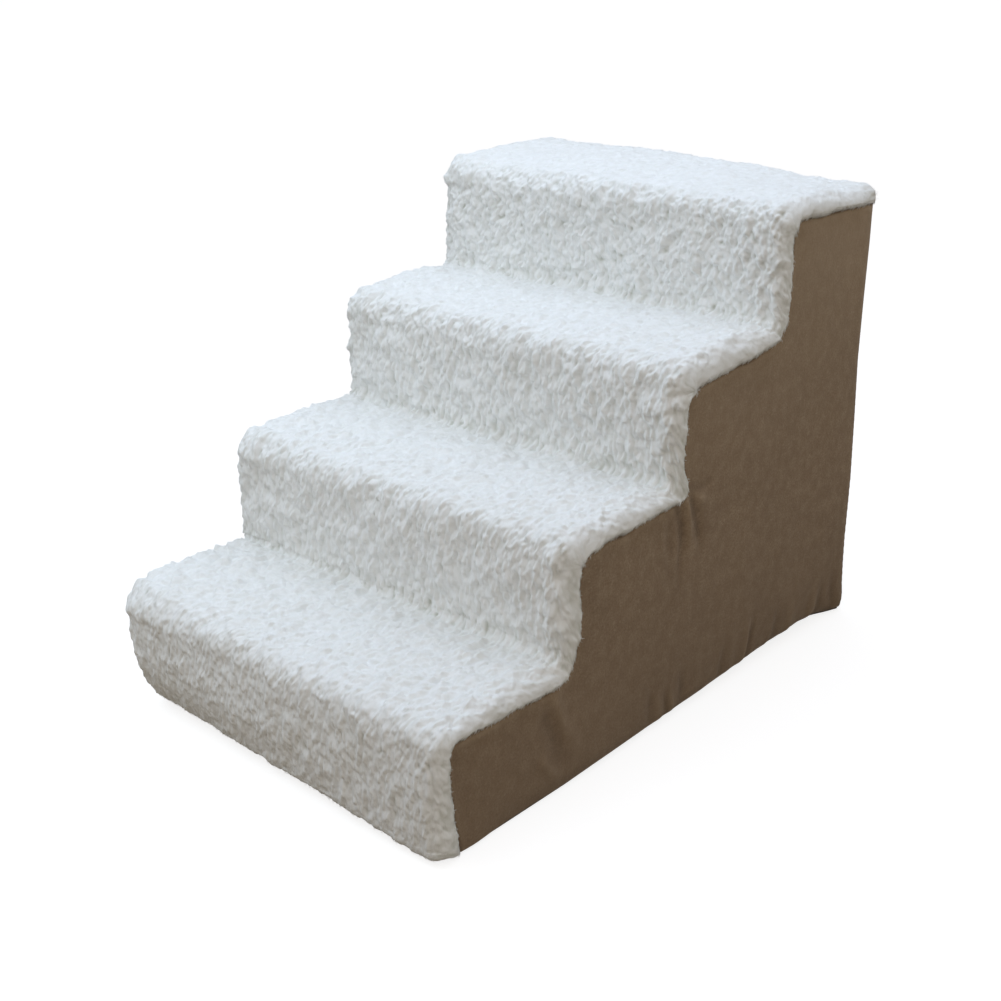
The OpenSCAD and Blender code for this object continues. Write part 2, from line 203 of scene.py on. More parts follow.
# the sewn line, in depth and height
SEAM = np.array([
    (19.5, -4), (18.5, 2), (16.5, 10), (14.5, 19), (12.8, 27), (11.6, 38), (10, 50), (8.6, 62),
    (7.8, 74), (7.8, 88), (7.6, 96), (9, 101.5), (13, 104.2), (22, 104), (32, 104.2),
    (46, 103.6), (60, 103.8), (72, 103.4), (85, 104.7), (97, 103.6), (107, 102.3), (120, 102.3),
    (133, 102.8), (142, 103.6), (148.5, 105), (153, 108.5), (157, 115.5), (160.5, 123),
    (162.8, 133), (164.6, 148), (165.4, 168), (166, 182), (166.8, 193), (168.2, 200),
    (171.5, 205.6), (177, 208.3), (188, 209.6), (196, 212.2), (207, 212.6), (221, 211),
    (230, 211.2), (238, 213.2), (252, 214.3), (270, 215.1), (292, 215.3), (303, 215),
    (310.5, 215.6), (313.6, 221), (312.6, 228), (309.6, 236), (307.8, 248), (308, 262),
    (307.6, 272), (309, 284), (309.4, 297), (311, 304.5), (315, 309.8), (323, 313.4),
    (334, 315.8), (350, 317.3), (370, 319), (388, 320.2), (404, 319.9), (414, 321.4),
    (425, 324.2), (435, 326.2), (443.5, 329.2), (449.5, 333), (453.2, 338), (455.8, 345),
    (458.4, 356), (460.6, 368), (462.2, 380), (463.4, 392), (464.6, 402), (466.2, 413),
    (467.4, 424), (468.2, 430.5), (472.5, 433.4), (484, 434.4), (496, 434), (507, 432.4),
    (530, 432.5), (556, 431.9), (578, 430.2), (592, 429), (612, 427)])


def stations():
    """The fleece's line from the foot to the back as depths and heights: the top of the pile, the
    way outward there, the line next to the foam, the side inset at the foot, how far each place
    is a tread, its step, and how near it is to the middle of a nose."""
    line, way, inner, inset, tread, step, crest = [], [], [], [], [], [], []

    def put(shape, direction, set_in, on_tread, k, on_nose=0.0):
        """Adds a stretch. shape gives its points at a distance from the foam."""
        line.append(shape(PILE))
        inner.append(shape(NEAR))
        n = len(line[-1])
        way.append(np.broadcast_to(direction, (n, 2)))
        inset.append(np.broadcast_to(set_in, n))
        tread.append(np.broadcast_to(on_tread, n))
        step.append(np.full(n, k))
        crest.append(np.broadcast_to(on_nose, n))

    def shares(length):
        n = max(3, int(round(length / ROW)))
        return (np.arange(n) / n)[:, None]

    def crown(off):
        return CROWN * 4 * t * (1 - t) * (off == PILE)

    a = np.radians(82) * (1 - shares((FOOT + PILE) * 1.4))
    put(lambda off: np.hstack([FOOT - (FOOT + off) * np.cos(a), FLOOR + FOOT - (FOOT - 0.2) * np.sin(a)]),
        (-1.0, 0.0), (FOOT * (1 - np.cos(a)))[:, 0], 0.0, 0)
    for k in range(STEPS):
        face, level = k * GOING, FLOOR + (k + 1) * RISE
        last = k == STEPS - 1
        high = level - NOSE

        def low(off):
            return FLOOR + FOOT if k == 0 else level - RISE + off + CREASE

        def end(off):
            return DEPTH - HEM if last else face + GOING - off - CREASE

        t = shares(high - low(PILE))
        put(lambda off: np.hstack([face - off - crown(off), mix(low(off), high, t)]),
            np.hstack([-np.ones_like(t), (k > 0) * (1 - t)]), 0.0, 0.0, k)
        a = np.radians(90) * shares((NOSE + PILE) * math.pi / 2)
        turn = np.hstack([-np.cos(a), np.sin(a)])
        put(lambda off: np.array([face + NOSE, high]) + (NOSE + off) * turn, turn, 0.0,
            smooth((a[:, 0] - 0.85) / 0.6), k, np.sin(2 * a[:, 0]))
        t = shares(end(PILE) - face - NOSE)
        put(lambda off: np.hstack([mix(face + NOSE, end(off), t),
                                   level + off + crown(off) * (1.3 - 0.6 * t)]),
            np.hstack([-t * (not last), np.ones_like(t)]), 0.0, 1.0, k)
        if not last:
            a = np.radians(90) * shares(CREASE * math.pi / 2)
            arc = np.hstack([CREASE * np.sin(a), CREASE * (1 - np.cos(a))])
            put(lambda off: np.array([end(off), level + off]) + arc, (-1.0, 1.0), 0.0,
                1 - smooth(a[:, 0] / 0.5), k + 0.5)
    a = np.radians(90) * np.append(shares(HEM * math.pi / 2), [[1.0]], 0)
    hem = {PILE: (1.3, HEM + 2.6), NEAR: (1.0, 0.0)}
    put(lambda off: np.hstack([DEPTH - HEM * (1 - hem[off][0] * np.sin(a)),
                               TOP + off - hem[off][1] * (1 - np.cos(a))]),
        (0.0, 1.0), 0.0, 1.0, STEPS - 1)
    return [np.concatenate(x) for x in (line, way, inner, inset, tread, step, crest)]


def seam_reach(line, way):
    """How far inward from the outer line the sewn line is met, against each station's way."""
    found = np.full(len(line), np.nan)
    a, b = SEAM[:-1], SEAM[1:]
    along = b - a
    for i, (p, d) in enumerate(zip(line, -way)):
        cross = d[0] * along[:, 1] - d[1] * along[:, 0]
        cross = np.where(np.abs(cross) < 1e-9, 1e-9, cross)
        to = a - p
        t = (to[:, 0] * along[:, 1] - to[:, 1] * along[:, 0]) / cross
        u = (to[:, 0] * d[1] - to[:, 1] * d[0]) / cross
        hit = t[(u >= 0) & (u <= 1) & (t > 2) & (t < 60)]
        if len(hit):
            found[i] = hit.min()
    known = np.flatnonzero(~np.isnan(found))
    found = np.interp(np.arange(len(found)), known, found[known])
    width = int(round(5 / ROW)) | 1
    kernel = np.hanning(width + 2)[1:-1]
    kernel /= kernel.sum()
    padded = np.pad(found, width, mode="edge")
    return np.clip(np.convolve(padded, kernel, "same")[width:-width], 9, 34)


# meshes
def place(points):
    """Points in millimetres from the front of the foam, in the frame's metres."""
    return (points + np.array([0, FRONT, 0])) * MM


def add_object(name, data):
    obj = bpy.data.objects.new(name, data)
    bpy.context.scene.collection.objects.link(obj)
    return obj


def make(name, points, faces, material, uv=None, fields=None, normals=None):
    """A mesh piece from points in millimetres and arrays of faces with 3 or 4 corners each."""
    mesh = bpy.data.meshes.new(name)
    sets = [np.asarray(f, np.int64) for f in faces if len(f)]
    sizes = np.concatenate([np.full(len(f), f.shape[1]) for f in sets])
    corners = np.concatenate([f.ravel() for f in sets])
    mesh.vertices.add(len(points))
    mesh.vertices.foreach_set("co", place(points).astype(np.float32).ravel())
    mesh.loops.add(len(corners))
    mesh.loops.foreach_set("vertex_index", corners.astype(np.int32))
    mesh.polygons.add(len(sizes))
    starts = np.concatenate([[0], np.cumsum(sizes)[:-1]])
    mesh.polygons.foreach_set("loop_start", starts.astype(np.int32))
    mesh.update(calc_edges=True)
    mesh.validate()
    mesh.polygons.foreach_set("use_smooth", np.ones(len(sizes), bool))
    if uv is not None:
        layer = mesh.uv_layers.new(name="OFBake")
        layer.data.foreach_set("uv", uv[corners].astype(np.float32).ravel())
    for key, values in (fields or {}).items():
        flat = values.ndim == 1
        attribute = mesh.attributes.new(key, "FLOAT" if flat else "FLOAT_VECTOR", "POINT")
        attribute.data.foreach_set("value" if flat else "vector", values.astype(np.float32).ravel())
    if normals is not None:
        mesh.normals_split_custom_set_from_vertices(normals.astype(np.float32).tolist())
    mesh.materials.append(material)
    obj = add_object(name, mesh)
    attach(obj, "stairs")
    return obj


def quads(rows, cols, base=0):
    """Faces of a grid of points whose rows run one after another."""
    a = base + (np.arange(rows - 1)[:, None] * cols + np.arange(cols - 1)[None, :]).ravel()
    return np.stack([a, a + 1, a + cols + 1, a + cols], -1)


def rim(rows, cols):
    """The outer ring of a grid's points, in order."""
    ids = np.arange(rows * cols).reshape(rows, cols)
    return np.concatenate([ids[0, :-1], ids[:-1, -1], ids[-1, :0:-1], ids[:0:-1, 0]])


def sheet_faces(faces, ring, count):
    """Closes an outer skin and an equal inner one, whose points follow it, along their ring."""
    after = np.roll(ring, -1)
    wall = np.stack([after, ring, ring + count, after + count], -1)
    return [faces, faces[:, ::-1] + count, wall]


def grid_normals(p):
    """Outward directions of a grid whose rows climb and whose columns run to the right."""
    return unit(np.cross(np.gradient(p, axis=1), np.gradient(p, axis=0)))


def grid_uv(cols, rows, right=0.99, top=0.99, low=0.01):
    """Bake coordinates of a grid's points, within a part of the layout."""
    u, v = np.meshgrid(np.linspace(0.01, right, cols), np.linspace(low, top, rows))
    return np.stack([u, v], -1).reshape(-1, 2)


def sheet_grid(name, outer, inner, material, slot, fields, turned=False, beside=False):
    """A sheet from two skins of one grid. turned flips its faces, and beside lays the inner
    skin to the right of the outer one in the bake layout, not above it."""
    rows, cols = outer.shape[:2]
    faces = sheet_faces(quads(rows, cols), rim(rows, cols), rows * cols)
    if turned:
        faces = [f[:, ::-1] for f in faces]
    uv = grid_uv(cols, rows, right=0.49) if beside else grid_uv(cols, rows, top=0.49)
    shift = np.array([0.5, 0]) if beside else np.array([0, 0.5])
    points = np.concatenate([outer.reshape(-1, 3), inner.reshape(-1, 3)])
    doubled = {key: np.concatenate([values, values]) for key, values in fields.items()}
    return make(name, points, faces, material, uv=np.concatenate([uv, uv + shift]),
                fields=doubled)


def flat_field(across, along):
    """Material coordinates of a grid that is measured in two directions."""
    return np.stack(np.broadcast_arrays(across, along, 0.0 * along), -1).reshape(-1, 3)


def tube_faces(ids):
    """Walls between rings of points, and a fan of triangles over the first and last ring."""
    after = np.roll(ids, -1, axis=-1)
    walls = np.stack([ids[..., :-1, :], after[..., :-1, :], after[..., 1:, :], ids[..., 1:, :]], -1)
    inner, later = slice(1, -1), slice(2, None)
    fans = []
    for ring, a, b in ((0, later, inner), (-1, inner, later)):
        ring = ids[..., ring, :]
        hub = np.broadcast_to(ring[..., :1], ring[..., a].shape)
        fans.append(np.stack([hub, ring[..., a], ring[..., b]], -1).reshape(-1, 3))
    return walls.reshape(-1, 4), np.concatenate(fans)


def point_normals(points, tris):
    """Outward directions at the points of a mesh of triangles."""
    n = np.cross(points[tris[:, 1]] - points[tris[:, 0]], points[tris[:, 2]] - points[tris[:, 0]])
    out = np.zeros_like(points)
    for i in range(3):
        np.add.at(out, tris[:, i], n)
    return unit(out)


# materials
class Nodes:
    """Adds nodes to a tree. Constants go straight on their sockets."""

    def __init__(self, owner):
        owner.use_nodes = True
        self.tree = owner.node_tree

    def add(self, kind, inputs=(), **settings):
        node = self.tree.nodes.new("ShaderNode" + kind)
        for key, value in settings.items():
            setattr(node, key, value)
        for key, value in dict(inputs).items():
            self.put(node.inputs[key], value)
        return node

    def put(self, socket, value):
        if isinstance(value, bpy.types.NodeSocket):
            self.tree.links.new(value, socket)
        else:
            socket.default_value = value

    def sum(self, a, b, way="ADD"):
        return self.add("Math", {0: a, 1: b}, operation=way).outputs[0]


class Finish(Nodes):
    """A material on one Principled shader."""

    def __init__(self, name, **settings):
        self.material = bpy.data.materials.new(name)
        super().__init__(self.material)
        self.shader = self.tree.nodes["Principled BSDF"]
        for key, value in settings.items():
            self.shader.inputs[key.replace("_", " ")].default_value = value

    def to(self, name, value):
        self.put(self.shader.inputs[name], value)

    def field(self, name, what="Vector"):
        return self.add("Attribute", attribute_name=name).outputs[what]

    def here(self):
        return self.add("TexCoord").outputs["Object"]

    def stretched(self, vector, scale, turn=0.0):
        return self.add("Mapping", {"Vector": vector, "Scale": scale,
                                    "Rotation": (0, 0, turn)}).outputs["Vector"]

    def grain(self, vector, scale, detail=3.0, rough=0.55):
        """Noise on coordinates that are stretched by a scale for each axis."""
        return self.add("TexNoise", {"Vector": self.stretched(vector, scale), "Scale": 1.0,
                                     "Detail": detail, "Roughness": rough}).outputs["Fac"]

    def ramp(self, value, low, high, start=0.0, end=1.0):
        node = self.add("MapRange", {"Value": value, "From Min": start, "From Max": end,
                                     "To Min": low, "To Max": high})
        return node.outputs["Result"]

    def blend(self, share, a, b):
        return self.add("Mix", {0: share, 6: a, 7: b}, data_type="RGBA").outputs[2]

    def layers(self, tone, *rows):
        """Lays colours over a tone: each row is a colour, a value and its ramp."""
        for shade, *ramp in rows:
            tone = self.blend(self.ramp(*ramp), tone, shade)
        return tone

    def bump(self, height, distance, strength=1.0, normal=None):
        inputs = {"Height": height, "Distance": distance, "Strength": strength}
        if normal is not None:
            inputs["Normal"] = normal
        return self.add("Bump", inputs).outputs["Normal"]


def colour(r, g, b):
    """A colour given as it shows on screen, from 0 to 255."""
    def straight(c):
        c /= 255
        return c / 12.92 if c <= 0.04045 else ((c + 0.055) / 1.055) ** 2.4
    return (straight(r), straight(g), straight(b), 1.0)


def fleece_finish():
    """Curled white pile with painted shade: paler at the tips, warmer and darker between the curls."""
    f = Finish("white fleece", Roughness=0.95, Sheen_Weight=0.25, Sheen_Roughness=0.6,
               Specular_IOR_Level=0.12)
    nap = f.field("nap")
    depth = f.field("pile", "Fac")
    broad = f.grain(nap, (0.02, 0.025, 1), detail=2)
    strand = f.grain(nap, (0.75, 0.2, 1), detail=4, rough=0.65)
    patch = f.grain(nap, (0.13, 0.1, 1))
    # painted shade: darker and warmer where the wool lies deep, and a little in the grooves between strands
    f.to("Base Color", f.layers(colour(191, 194, 184),
                                (colour(242, 244, 244), depth, 0, 1, 0.0, 0.6),
                                (colour(180, 183, 172), strand, 0.06, 0.0, 0.3, 0.62),
                                (colour(223, 224, 217), broad, 0.0, 0.12, 0.4, 0.8),
                                (colour(210, 211, 202), patch, 0.0, 0.25, 0.4, 0.7)))
    fine = f.grain(nap, (1.5, 0.42, 1), detail=5, rough=0.7)
    f.to("Normal", f.bump(fine, 0.0004, 0.6, f.bump(strand, 0.0006, 0.6)))
    return f.material


def fibre_finish():
    """Single hairs, some a little duller than others."""
    f = Finish("fleece fibres", Roughness=0.85, Sheen_Weight=0.2, Specular_IOR_Level=0.15)
    shade = f.field("pile", "Fac")
    f.to("Base Color", f.blend(shade, colour(230, 231, 227), colour(244, 245, 245)))
    return f.material


def cloth_finish(name, base, dark, light, weave=1.0, upright=True):
    """Brushed cloth with a faint weave, uneven dye and a short nap. Where it stands upright it
    has painted shade toward the foot and painted light toward the top."""
    f = Finish(name, Roughness=0.92, Sheen_Weight=0.1, Sheen_Roughness=0.5,
               Specular_IOR_Level=0.18)
    at = f.field("cloth")
    # painted highlight on rolled edges and fold ridges, and wear on folded edges
    edge = f.field("wear_and_highlight", "Fac")
    broad = f.grain(at, (0.012, 0.009, 1), detail=3)
    mottle = f.grain(at, (0.09, 0.07, 1), detail=3)
    streak = f.grain(at, (0.42, 0.03, 1), detail=3, rough=0.6)
    pepper = f.grain(at, (0.55, 0.5, 1), detail=5, rough=0.75)
    fleck = f.grain(at, (0.24, 0.2, 1), detail=4, rough=0.7)
    across, along = (
        f.add("TexWave", {"Vector": at, "Scale": scale, "Distortion": bent, "Detail": 2.0,
                          "Detail Scale": 1.5}, bands_direction=way).outputs["Fac"]
        for way, scale, bent in (("X", 0.33, 1.6), ("Y", 0.31, 1.4)))
    cross = f.sum(across, along, "MULTIPLY")
    tone = f.layers(base, (dark, broad, 0.0, 0.4, 0.3, 0.75), (light, mottle, 0.0, 0.6, 0.4, 0.7),
                    (light, streak, 0.0, 0.06 * weave, 0.45, 0.75), (dark, pepper, 0.0, 0.78, 0.42, 0.66),
                    (light, fleck, 0.0, 0.75, 0.56, 0.74), (dark, cross, 0.05 * weave, 0.0, 0.0, 0.6))
    if upright:
        # painted shade toward the foot and painted light toward the top
        height = f.add("SeparateXYZ", {0: at}).outputs["Y"]
        tone = f.layers(tone, (dark, height, 0.5, 0.0, 0.0, 170.0), (light, height, 0.0, 0.55, 190.0, 430.0))
    # painted highlight and wear make it paler; painted shadow and shade, over a dark seam line, make it
    # darker
    f.to("Base Color", f.layers(tone, (light, edge, 0.0, 0.6),
                                (colour(60, 44, 34), f.field("dark", "Fac"), 0.0, 0.85)))
    height = f.sum(f.sum(pepper, 0.8, "MULTIPLY"), f.sum(cross, 0.5, "MULTIPLY"))
    f.to("Normal", f.bump(f.sum(height, fleck), 0.0007, 0.9))
    f.to("Roughness", f.ramp(pepper, 0.84, 0.98))
    return f.material


def foam_finish():
    """Open-cell foam: small pores darkened with painted shade in a cream ground."""
    f = Finish("cream foam", Roughness=0.9, Specular_IOR_Level=0.2, Subsurface_Weight=0.05)
    at = f.here()
    pores = f.add("TexVoronoi", {"Vector": at, "Scale": 620.0, "Randomness": 1.0})
    hole = f.ramp(pores.outputs["Distance"], 1.0, 0.0, 0.1, 0.42)
    broad = f.grain(at, (9, 9, 9), detail=3)
    tone = f.blend(f.ramp(broad, 0, 0.6, 0.3, 0.7), colour(238, 229, 204), colour(226, 212, 178))
    # painted shade in the pores
    f.to("Base Color", f.blend(f.sum(hole, 0.45, "MULTIPLY"), tone, colour(176, 158, 122)))
    f.to("Normal", f.bump(f.sum(broad, f.sum(hole, -0.35, "MULTIPLY")), 0.0016, 0.8))
    return f.material


def tape_finish():
    """Woven zip tape: fine ribs along it with a twill across."""
    f = Finish("woven tape", Roughness=0.8, Sheen_Weight=0.15, Specular_IOR_Level=0.25)
    at = f.field("cloth")
    ribs = f.add("TexWave", {"Vector": at, "Scale": 0.5, "Distortion": 0.25}, bands_direction="Y")
    twill = f.add("TexWave", {"Vector": f.stretched(at, (1, 1, 1), 0.7), "Scale": 0.42,
                              "Distortion": 0.4}, bands_direction="X")
    both = f.sum(ribs.outputs["Fac"], twill.outputs["Fac"], "MULTIPLY")
    broad = f.grain(at, (0.05, 0.2, 1), detail=3)
    tone = f.blend(both, colour(70, 58, 46), colour(104, 88, 72))
    f.to("Base Color", f.blend(f.ramp(broad, 0, 0.5), tone, colour(84, 70, 57)))
    f.to("Normal", f.bump(both, 0.0003, 0.8))
    return f.material


def plastic_finish():
    """Moulded plastic that is rubbed paler in places."""
    f = Finish("moulded zip plastic", Roughness=0.38, Specular_IOR_Level=0.5, Coat_Weight=0.1)
    at = f.here()
    rub = f.grain(at, (420, 420, 420), detail=3)
    tone = f.blend(f.ramp(rub, 0, 0.7, 0.35, 0.75), colour(86, 71, 57), colour(112, 95, 78))
    f.to("Base Color", tone)
    f.to("Roughness", f.ramp(rub, 0.3, 0.52))
    f.to("Normal", f.bump(rub, 0.00008, 0.5))
    return f.material


def metal_finish():
    """Brushed nickel with fine scratches and duller patches."""
    f = Finish("brushed zip metal", Metallic=1.0, Roughness=0.34)
    at = f.here()
    lines = f.grain(at, (260, 2600, 2600), detail=4, rough=0.7)
    dull = f.grain(at, (160, 160, 160), detail=3)
    tone = f.blend(f.ramp(dull, 0, 1, 0.35, 0.7), colour(186, 181, 172), colour(142, 136, 127))
    f.to("Base Color", tone)
    f.to("Roughness", f.ramp(f.sum(lines, dull, "MULTIPLY"), 0.26, 0.5, 0.1, 0.45))
    f.to("Normal", f.bump(lines, 0.00004, 0.5))
    return f.material


def thread_finish():
    """Twisted thread, with painted shade between its plies."""
    f = Finish("sewing thread", Roughness=0.6, Sheen_Weight=0.2)
    at = f.here()
    ply = f.add("TexWave", {"Vector": f.stretched(at, (1, 1, 1), 0.6), "Scale": 700.0},
                bands_direction="X").outputs["Fac"]
    # painted shade: darker between the plies
    f.to("Base Color", f.blend(ply, colour(92, 76, 60), colour(142, 122, 100)))
    f.to("Normal", f.bump(ply, 0.0001, 0.8))
    return f.material


FLEECE = fleece_finish()
FIBRE = fibre_finish()
BROWN = cloth_finish("brushed brown cloth", colour(153, 131, 107), colour(121, 101, 80),
                     colour(177, 156, 131))
BASE = cloth_finish("dark base cloth", colour(88, 80, 72), colour(66, 60, 54),
                    colour(112, 104, 95), weave=2.0, upright=False)
FOAM = foam_finish()
TAPE = tape_finish()
PLASTIC = plastic_finish()
METAL = metal_finish()
THREAD = thread_finish()


# fleece
def stamp_locks(field, row, col, turn, long, wide, height, bend):
    """Raises overlapping locks of wool on a grid. Each hangs toward the lower rows, is thickest
    near its tip, and ends in a round end that leaves a dark step below it."""
    rows, cols = field.shape
    tall, broad = int(math.ceil(long.max() / ROW)) + 1, int(math.ceil(long.max() / COL)) + 1
    r0, c0 = np.round(row / ROW).astype(int), np.round(col / COL).astype(int)
    sin, cos = np.sin(turn), np.cos(turn)
    for dr in range(-tall, tall + 1):
        for dc in range(-broad, broad + 1):
            r, c = r0 + dr, c0 + dc
            y, x = r * ROW - row, c * COL - col
            along = (y * cos + x * sin) / long
            across = (x * cos - y * sin) / wide - bend * along * along
            keep = (along * along < 1) & (across * across < 1) & (r >= 0) & (r < rows)
            keep &= (c >= 0) & (c < cols)
            a, b = along[keep], across[keep]
            tip = np.clip((-a - 0.3) / 0.7, 0, 1)
            rise = (0.45 + 0.55 * np.clip((1 - a) / 1.3, 0, 1)) * np.sqrt(1 - tip * tip)
            np.maximum.at(field, (r[keep], c[keep]), height[keep] * rise * np.sqrt(1 - b * b))


# layers of locks: spacing along and across, height, and the share that is kept. The last one
# lies on the noses only.
LOCK_LAYERS = ((5.0, 3.1, 0.65, 1.0), (7.4, 4.2, 1.0, 0.86), (6.4, 5.4, 0.95, 0.7))


def lock_layer(locks, chance, layer, tread, step, crest):
    """Stamps one layer of locks. They hang down the risers, lie brushed flat on the treads, and
    stray more over the noses."""
    rows, cols = locks.shape
    wide_all = cols * COL
    pitch_r, pitch_c, part, kept = LOCK_LAYERS[layer]
    on_nose = layer == len(LOCK_LAYERS) - 1
    rr, cc = np.mgrid[0:rows * ROW:pitch_r, 0:wide_all:pitch_c]
    rr = (rr + chance.uniform(-0.55, 0.55, rr.shape) * pitch_r).ravel()
    cc = (cc + chance.uniform(-0.55, 0.55, cc.shape) * pitch_c).ravel()
    at = np.clip((rr / ROW).astype(int), 0, rows - 1)
    on = chance.random(len(rr)) < kept * (np.clip(crest[at] * 2 - 0.5, 0, 1) if on_nose else 1)
    rr, cc, at = rr[on], cc[on], at[on]
    flat = np.clip(tread[at] + 0.3 * noise(rr / 9, cc / 6, 3) * (tread[at] > 0.02), 0, 1)
    curl = np.clip(step[at] / 3, 0, 1)
    side = np.clip((mix(30, 44, flat) - np.minimum(cc, wide_all - cc)) / 17, 0, 1)
    side = side * np.where(cc < wide_all / 2, 1, -1)
    swirl = noise(rr / 23, cc / 19, 5) + 0.6 * noise(rr / 9, cc / 8, 6)
    turn = swirl * mix(by_step(step[at], 0.3, 0.15, 0.18, 0.75), 1.1, flat) + mix(0.0, 0.5, flat)
    turn = mix(turn, 1.35 * np.sign(side), np.abs(side) * 0.8)
    stray = by_step(step[at], 0.13, 0.1, 0.13, 0.35) + (0.5 if on_nose else 0)
    turn += chance.normal(0, stray, len(rr))
    size = np.exp(chance.normal(0, 0.22, len(rr)))
    long = mix(by_step(step[at], 5.6, 6.4, 6.0, 4.4), 5.0, flat) * size * (0.75 if on_nose else 1)
    wide = mix(2.15 + 0.3 * curl, 2.4, flat) * np.exp(chance.normal(0, 0.18, len(rr)))
    tall = mix(by_step(step[at], 3.2, 5.0, 5.4, 4.5), 2.8 * by_step(step[at], *TREAD_LIFE), flat)
    height = tall * (0.5 + 0.6 * chance.random(len(rr))) * part
    bend = chance.normal(0, 0.3 + 0.35 * curl, len(rr))
    stamp_locks(locks, rr, cc, turn, long, wide, height * (1 - 0.3 * np.abs(side)), bend)


def pile_relief(rows, cols, tread, step, crest):
    """Height of the pile above its middle level, and how deep each place lies, which sets the painted shade
    of its colour.
    """
    chance = np.random.default_rng(41)
    locks = np.zeros((rows, cols))
    for layer in range(len(LOCK_LAYERS)):
        lock_layer(locks, chance, layer, tread, step, crest)
    for axis in (0, 1):
        locks = 0.5 * locks + 0.25 * (np.roll(locks, 1, axis) + np.roll(locks, -1, axis))
    r, c = np.mgrid[0:rows, 0:cols].astype(float)
    r, c = r * ROW, c * COL
    flat, high = tread[:, None], np.clip(step, 0, 1)[:, None]
    # painted shade: the wool's colour is darker near a crease
    foot = np.zeros(rows)
    for part, crease in zip((1.0, 1.0, 0.35), crease_rows(step)):
        foot += part * np.exp(-((np.arange(rows) - crease[-1]) * ROW / 9) ** 2)
    foot = (foot * (1 - tread))[:, None]
    lively = by_step(step, *TREAD_LIFE)[:, None]
    clumps = noise(r / 14, c / 9, 8) * mix(1.2 + 1.0 * high, 1.5 * lively, flat) \
        + noise(r / 34, c / 42, 9) * mix(0.8 + 1.3 * high, 0.8, flat) \
        + noise(r / 7, c / 5.5, 10) * mix(0.6 + 0.35 * high, 0.9 * lively, flat)
    # painted shade: the deeper a place lies between the locks, the darker its colour
    depth = mix(locks / by_step(step, 2.3, 4.2, 4.6, 3.7)[:, None], 0.5 + 0.45 * locks / 2.4, flat)
    depth = depth - 0.15 * foot * (1 + 0.6 * noise(r / 7, c / 5.5, 10) + 0.8 * noise(r / 34, c / 26, 11))
    return locks - mix(by_step(step, 1.85, 2.9, 3.1, 2.6)[:, None], 1.6 * lively, flat) + clumps, depth


def crease_rows(step):
    """The rows of each crease between a tread and the next riser."""
    return [np.flatnonzero(np.abs(step - (k + 0.5)) < 0.01) for k in range(STEPS - 1)]


def section():
    """Columns across the fleece: out from the middle, and the share of the way down a side.
    The edges roll down each side to the sewn line."""
    flat_end = HALF + SIDE_PILE - EDGE_ROUND
    n = int(round(2 * flat_end / COL))
    flat = np.linspace(-flat_end, flat_end, n + 1)
    angle = np.radians(90) * (np.arange(1, int(26 / COL) + 1) / int(26 / COL))
    low = np.linspace(0, 1, int(9 / COL) + 1)[1:]
    under = np.linspace(0, 1, int(3.2 / COL) + 1)[1:]
    down = np.concatenate([0.727 * (1 - np.cos(angle)), 0.727 + 0.255 * low, 0.982 + 0.018 * under])
    out = np.concatenate([
        flat_end + EDGE_ROUND * np.sin(angle),
        HALF + SIDE_PILE - LIP_IN * low ** 2.2,
        HALF + mix(SIDE_PILE - LIP_IN, NEAR, under)])
    x = np.concatenate([-out[::-1], flat, out])
    share = np.concatenate([down[::-1], np.zeros(n + 1), down])
    return x, share, len(out)


def square_ends(p, x, share, line, step):
    """Makes the foot squarer toward the right, and draws the hem in at its two ends, where it
    turns down more squarely."""
    square = 0.55 * smooth((x - 110) / 60) * (p[..., 2] < FLOOR + FOOT) * (p[..., 1] < FOOT)
    square = square * (1 - smooth(share * 3))
    p[..., 1] = np.where(p[..., 1] > -PILE, mix(p[..., 1], -PILE, square), p[..., 1])
    last = step == STEPS - 1
    end = smooth((line[:, 0] - DEPTH + 30) / 28) * last
    proud = np.maximum(np.abs(x) - HALF - 2.4, 0) * np.sign(x)
    p[..., 0] -= 0.9 * end[:, None] * proud
    at_hem = smooth((line[:, 0] - DEPTH + HEM) / 3) * last
    square = at_hem[:, None] * smooth((np.abs(x) - 150) / 45)
    short = DEPTH + 0.8 - p[..., 1]
    p[..., 1] += square * (0.6 * np.maximum(short, 0) + np.minimum(short, 0))


def fullness(x, v, tread, step, crest):
    """How far the pile stands beyond its line. It wanders a little everywhere, is fuller along
    the left edges, and makes the noses squarer toward the right."""
    left = np.where(x < 0, np.clip((-x - 60) / 150, 0, 1) ** 2, 0)
    wander = noise(v[:, None] / 24, x / 24, 21) * 0.9 + noise(v[:, None] / 60, x / 70, 22)
    lower = np.floor(step)[:, None]
    rim_rise = by_step(lower, 4.9, 3.9, 2.9, 2.4)
    fuller = left * mix(np.where(lower > 0, 1.6, 0.3), rim_rise, tread[:, None])
    far = smooth((-x - 120) / 70) * smooth(crest * 1.6)[:, None]
    fuller = fuller + far * by_step(lower, 3.0, 3.5, 2.0, 4.0)
    fuller = fuller + 2.0 * smooth((x + 160) / 120) * (crest ** 2)[:, None]
    return wander * 0.7 + fuller


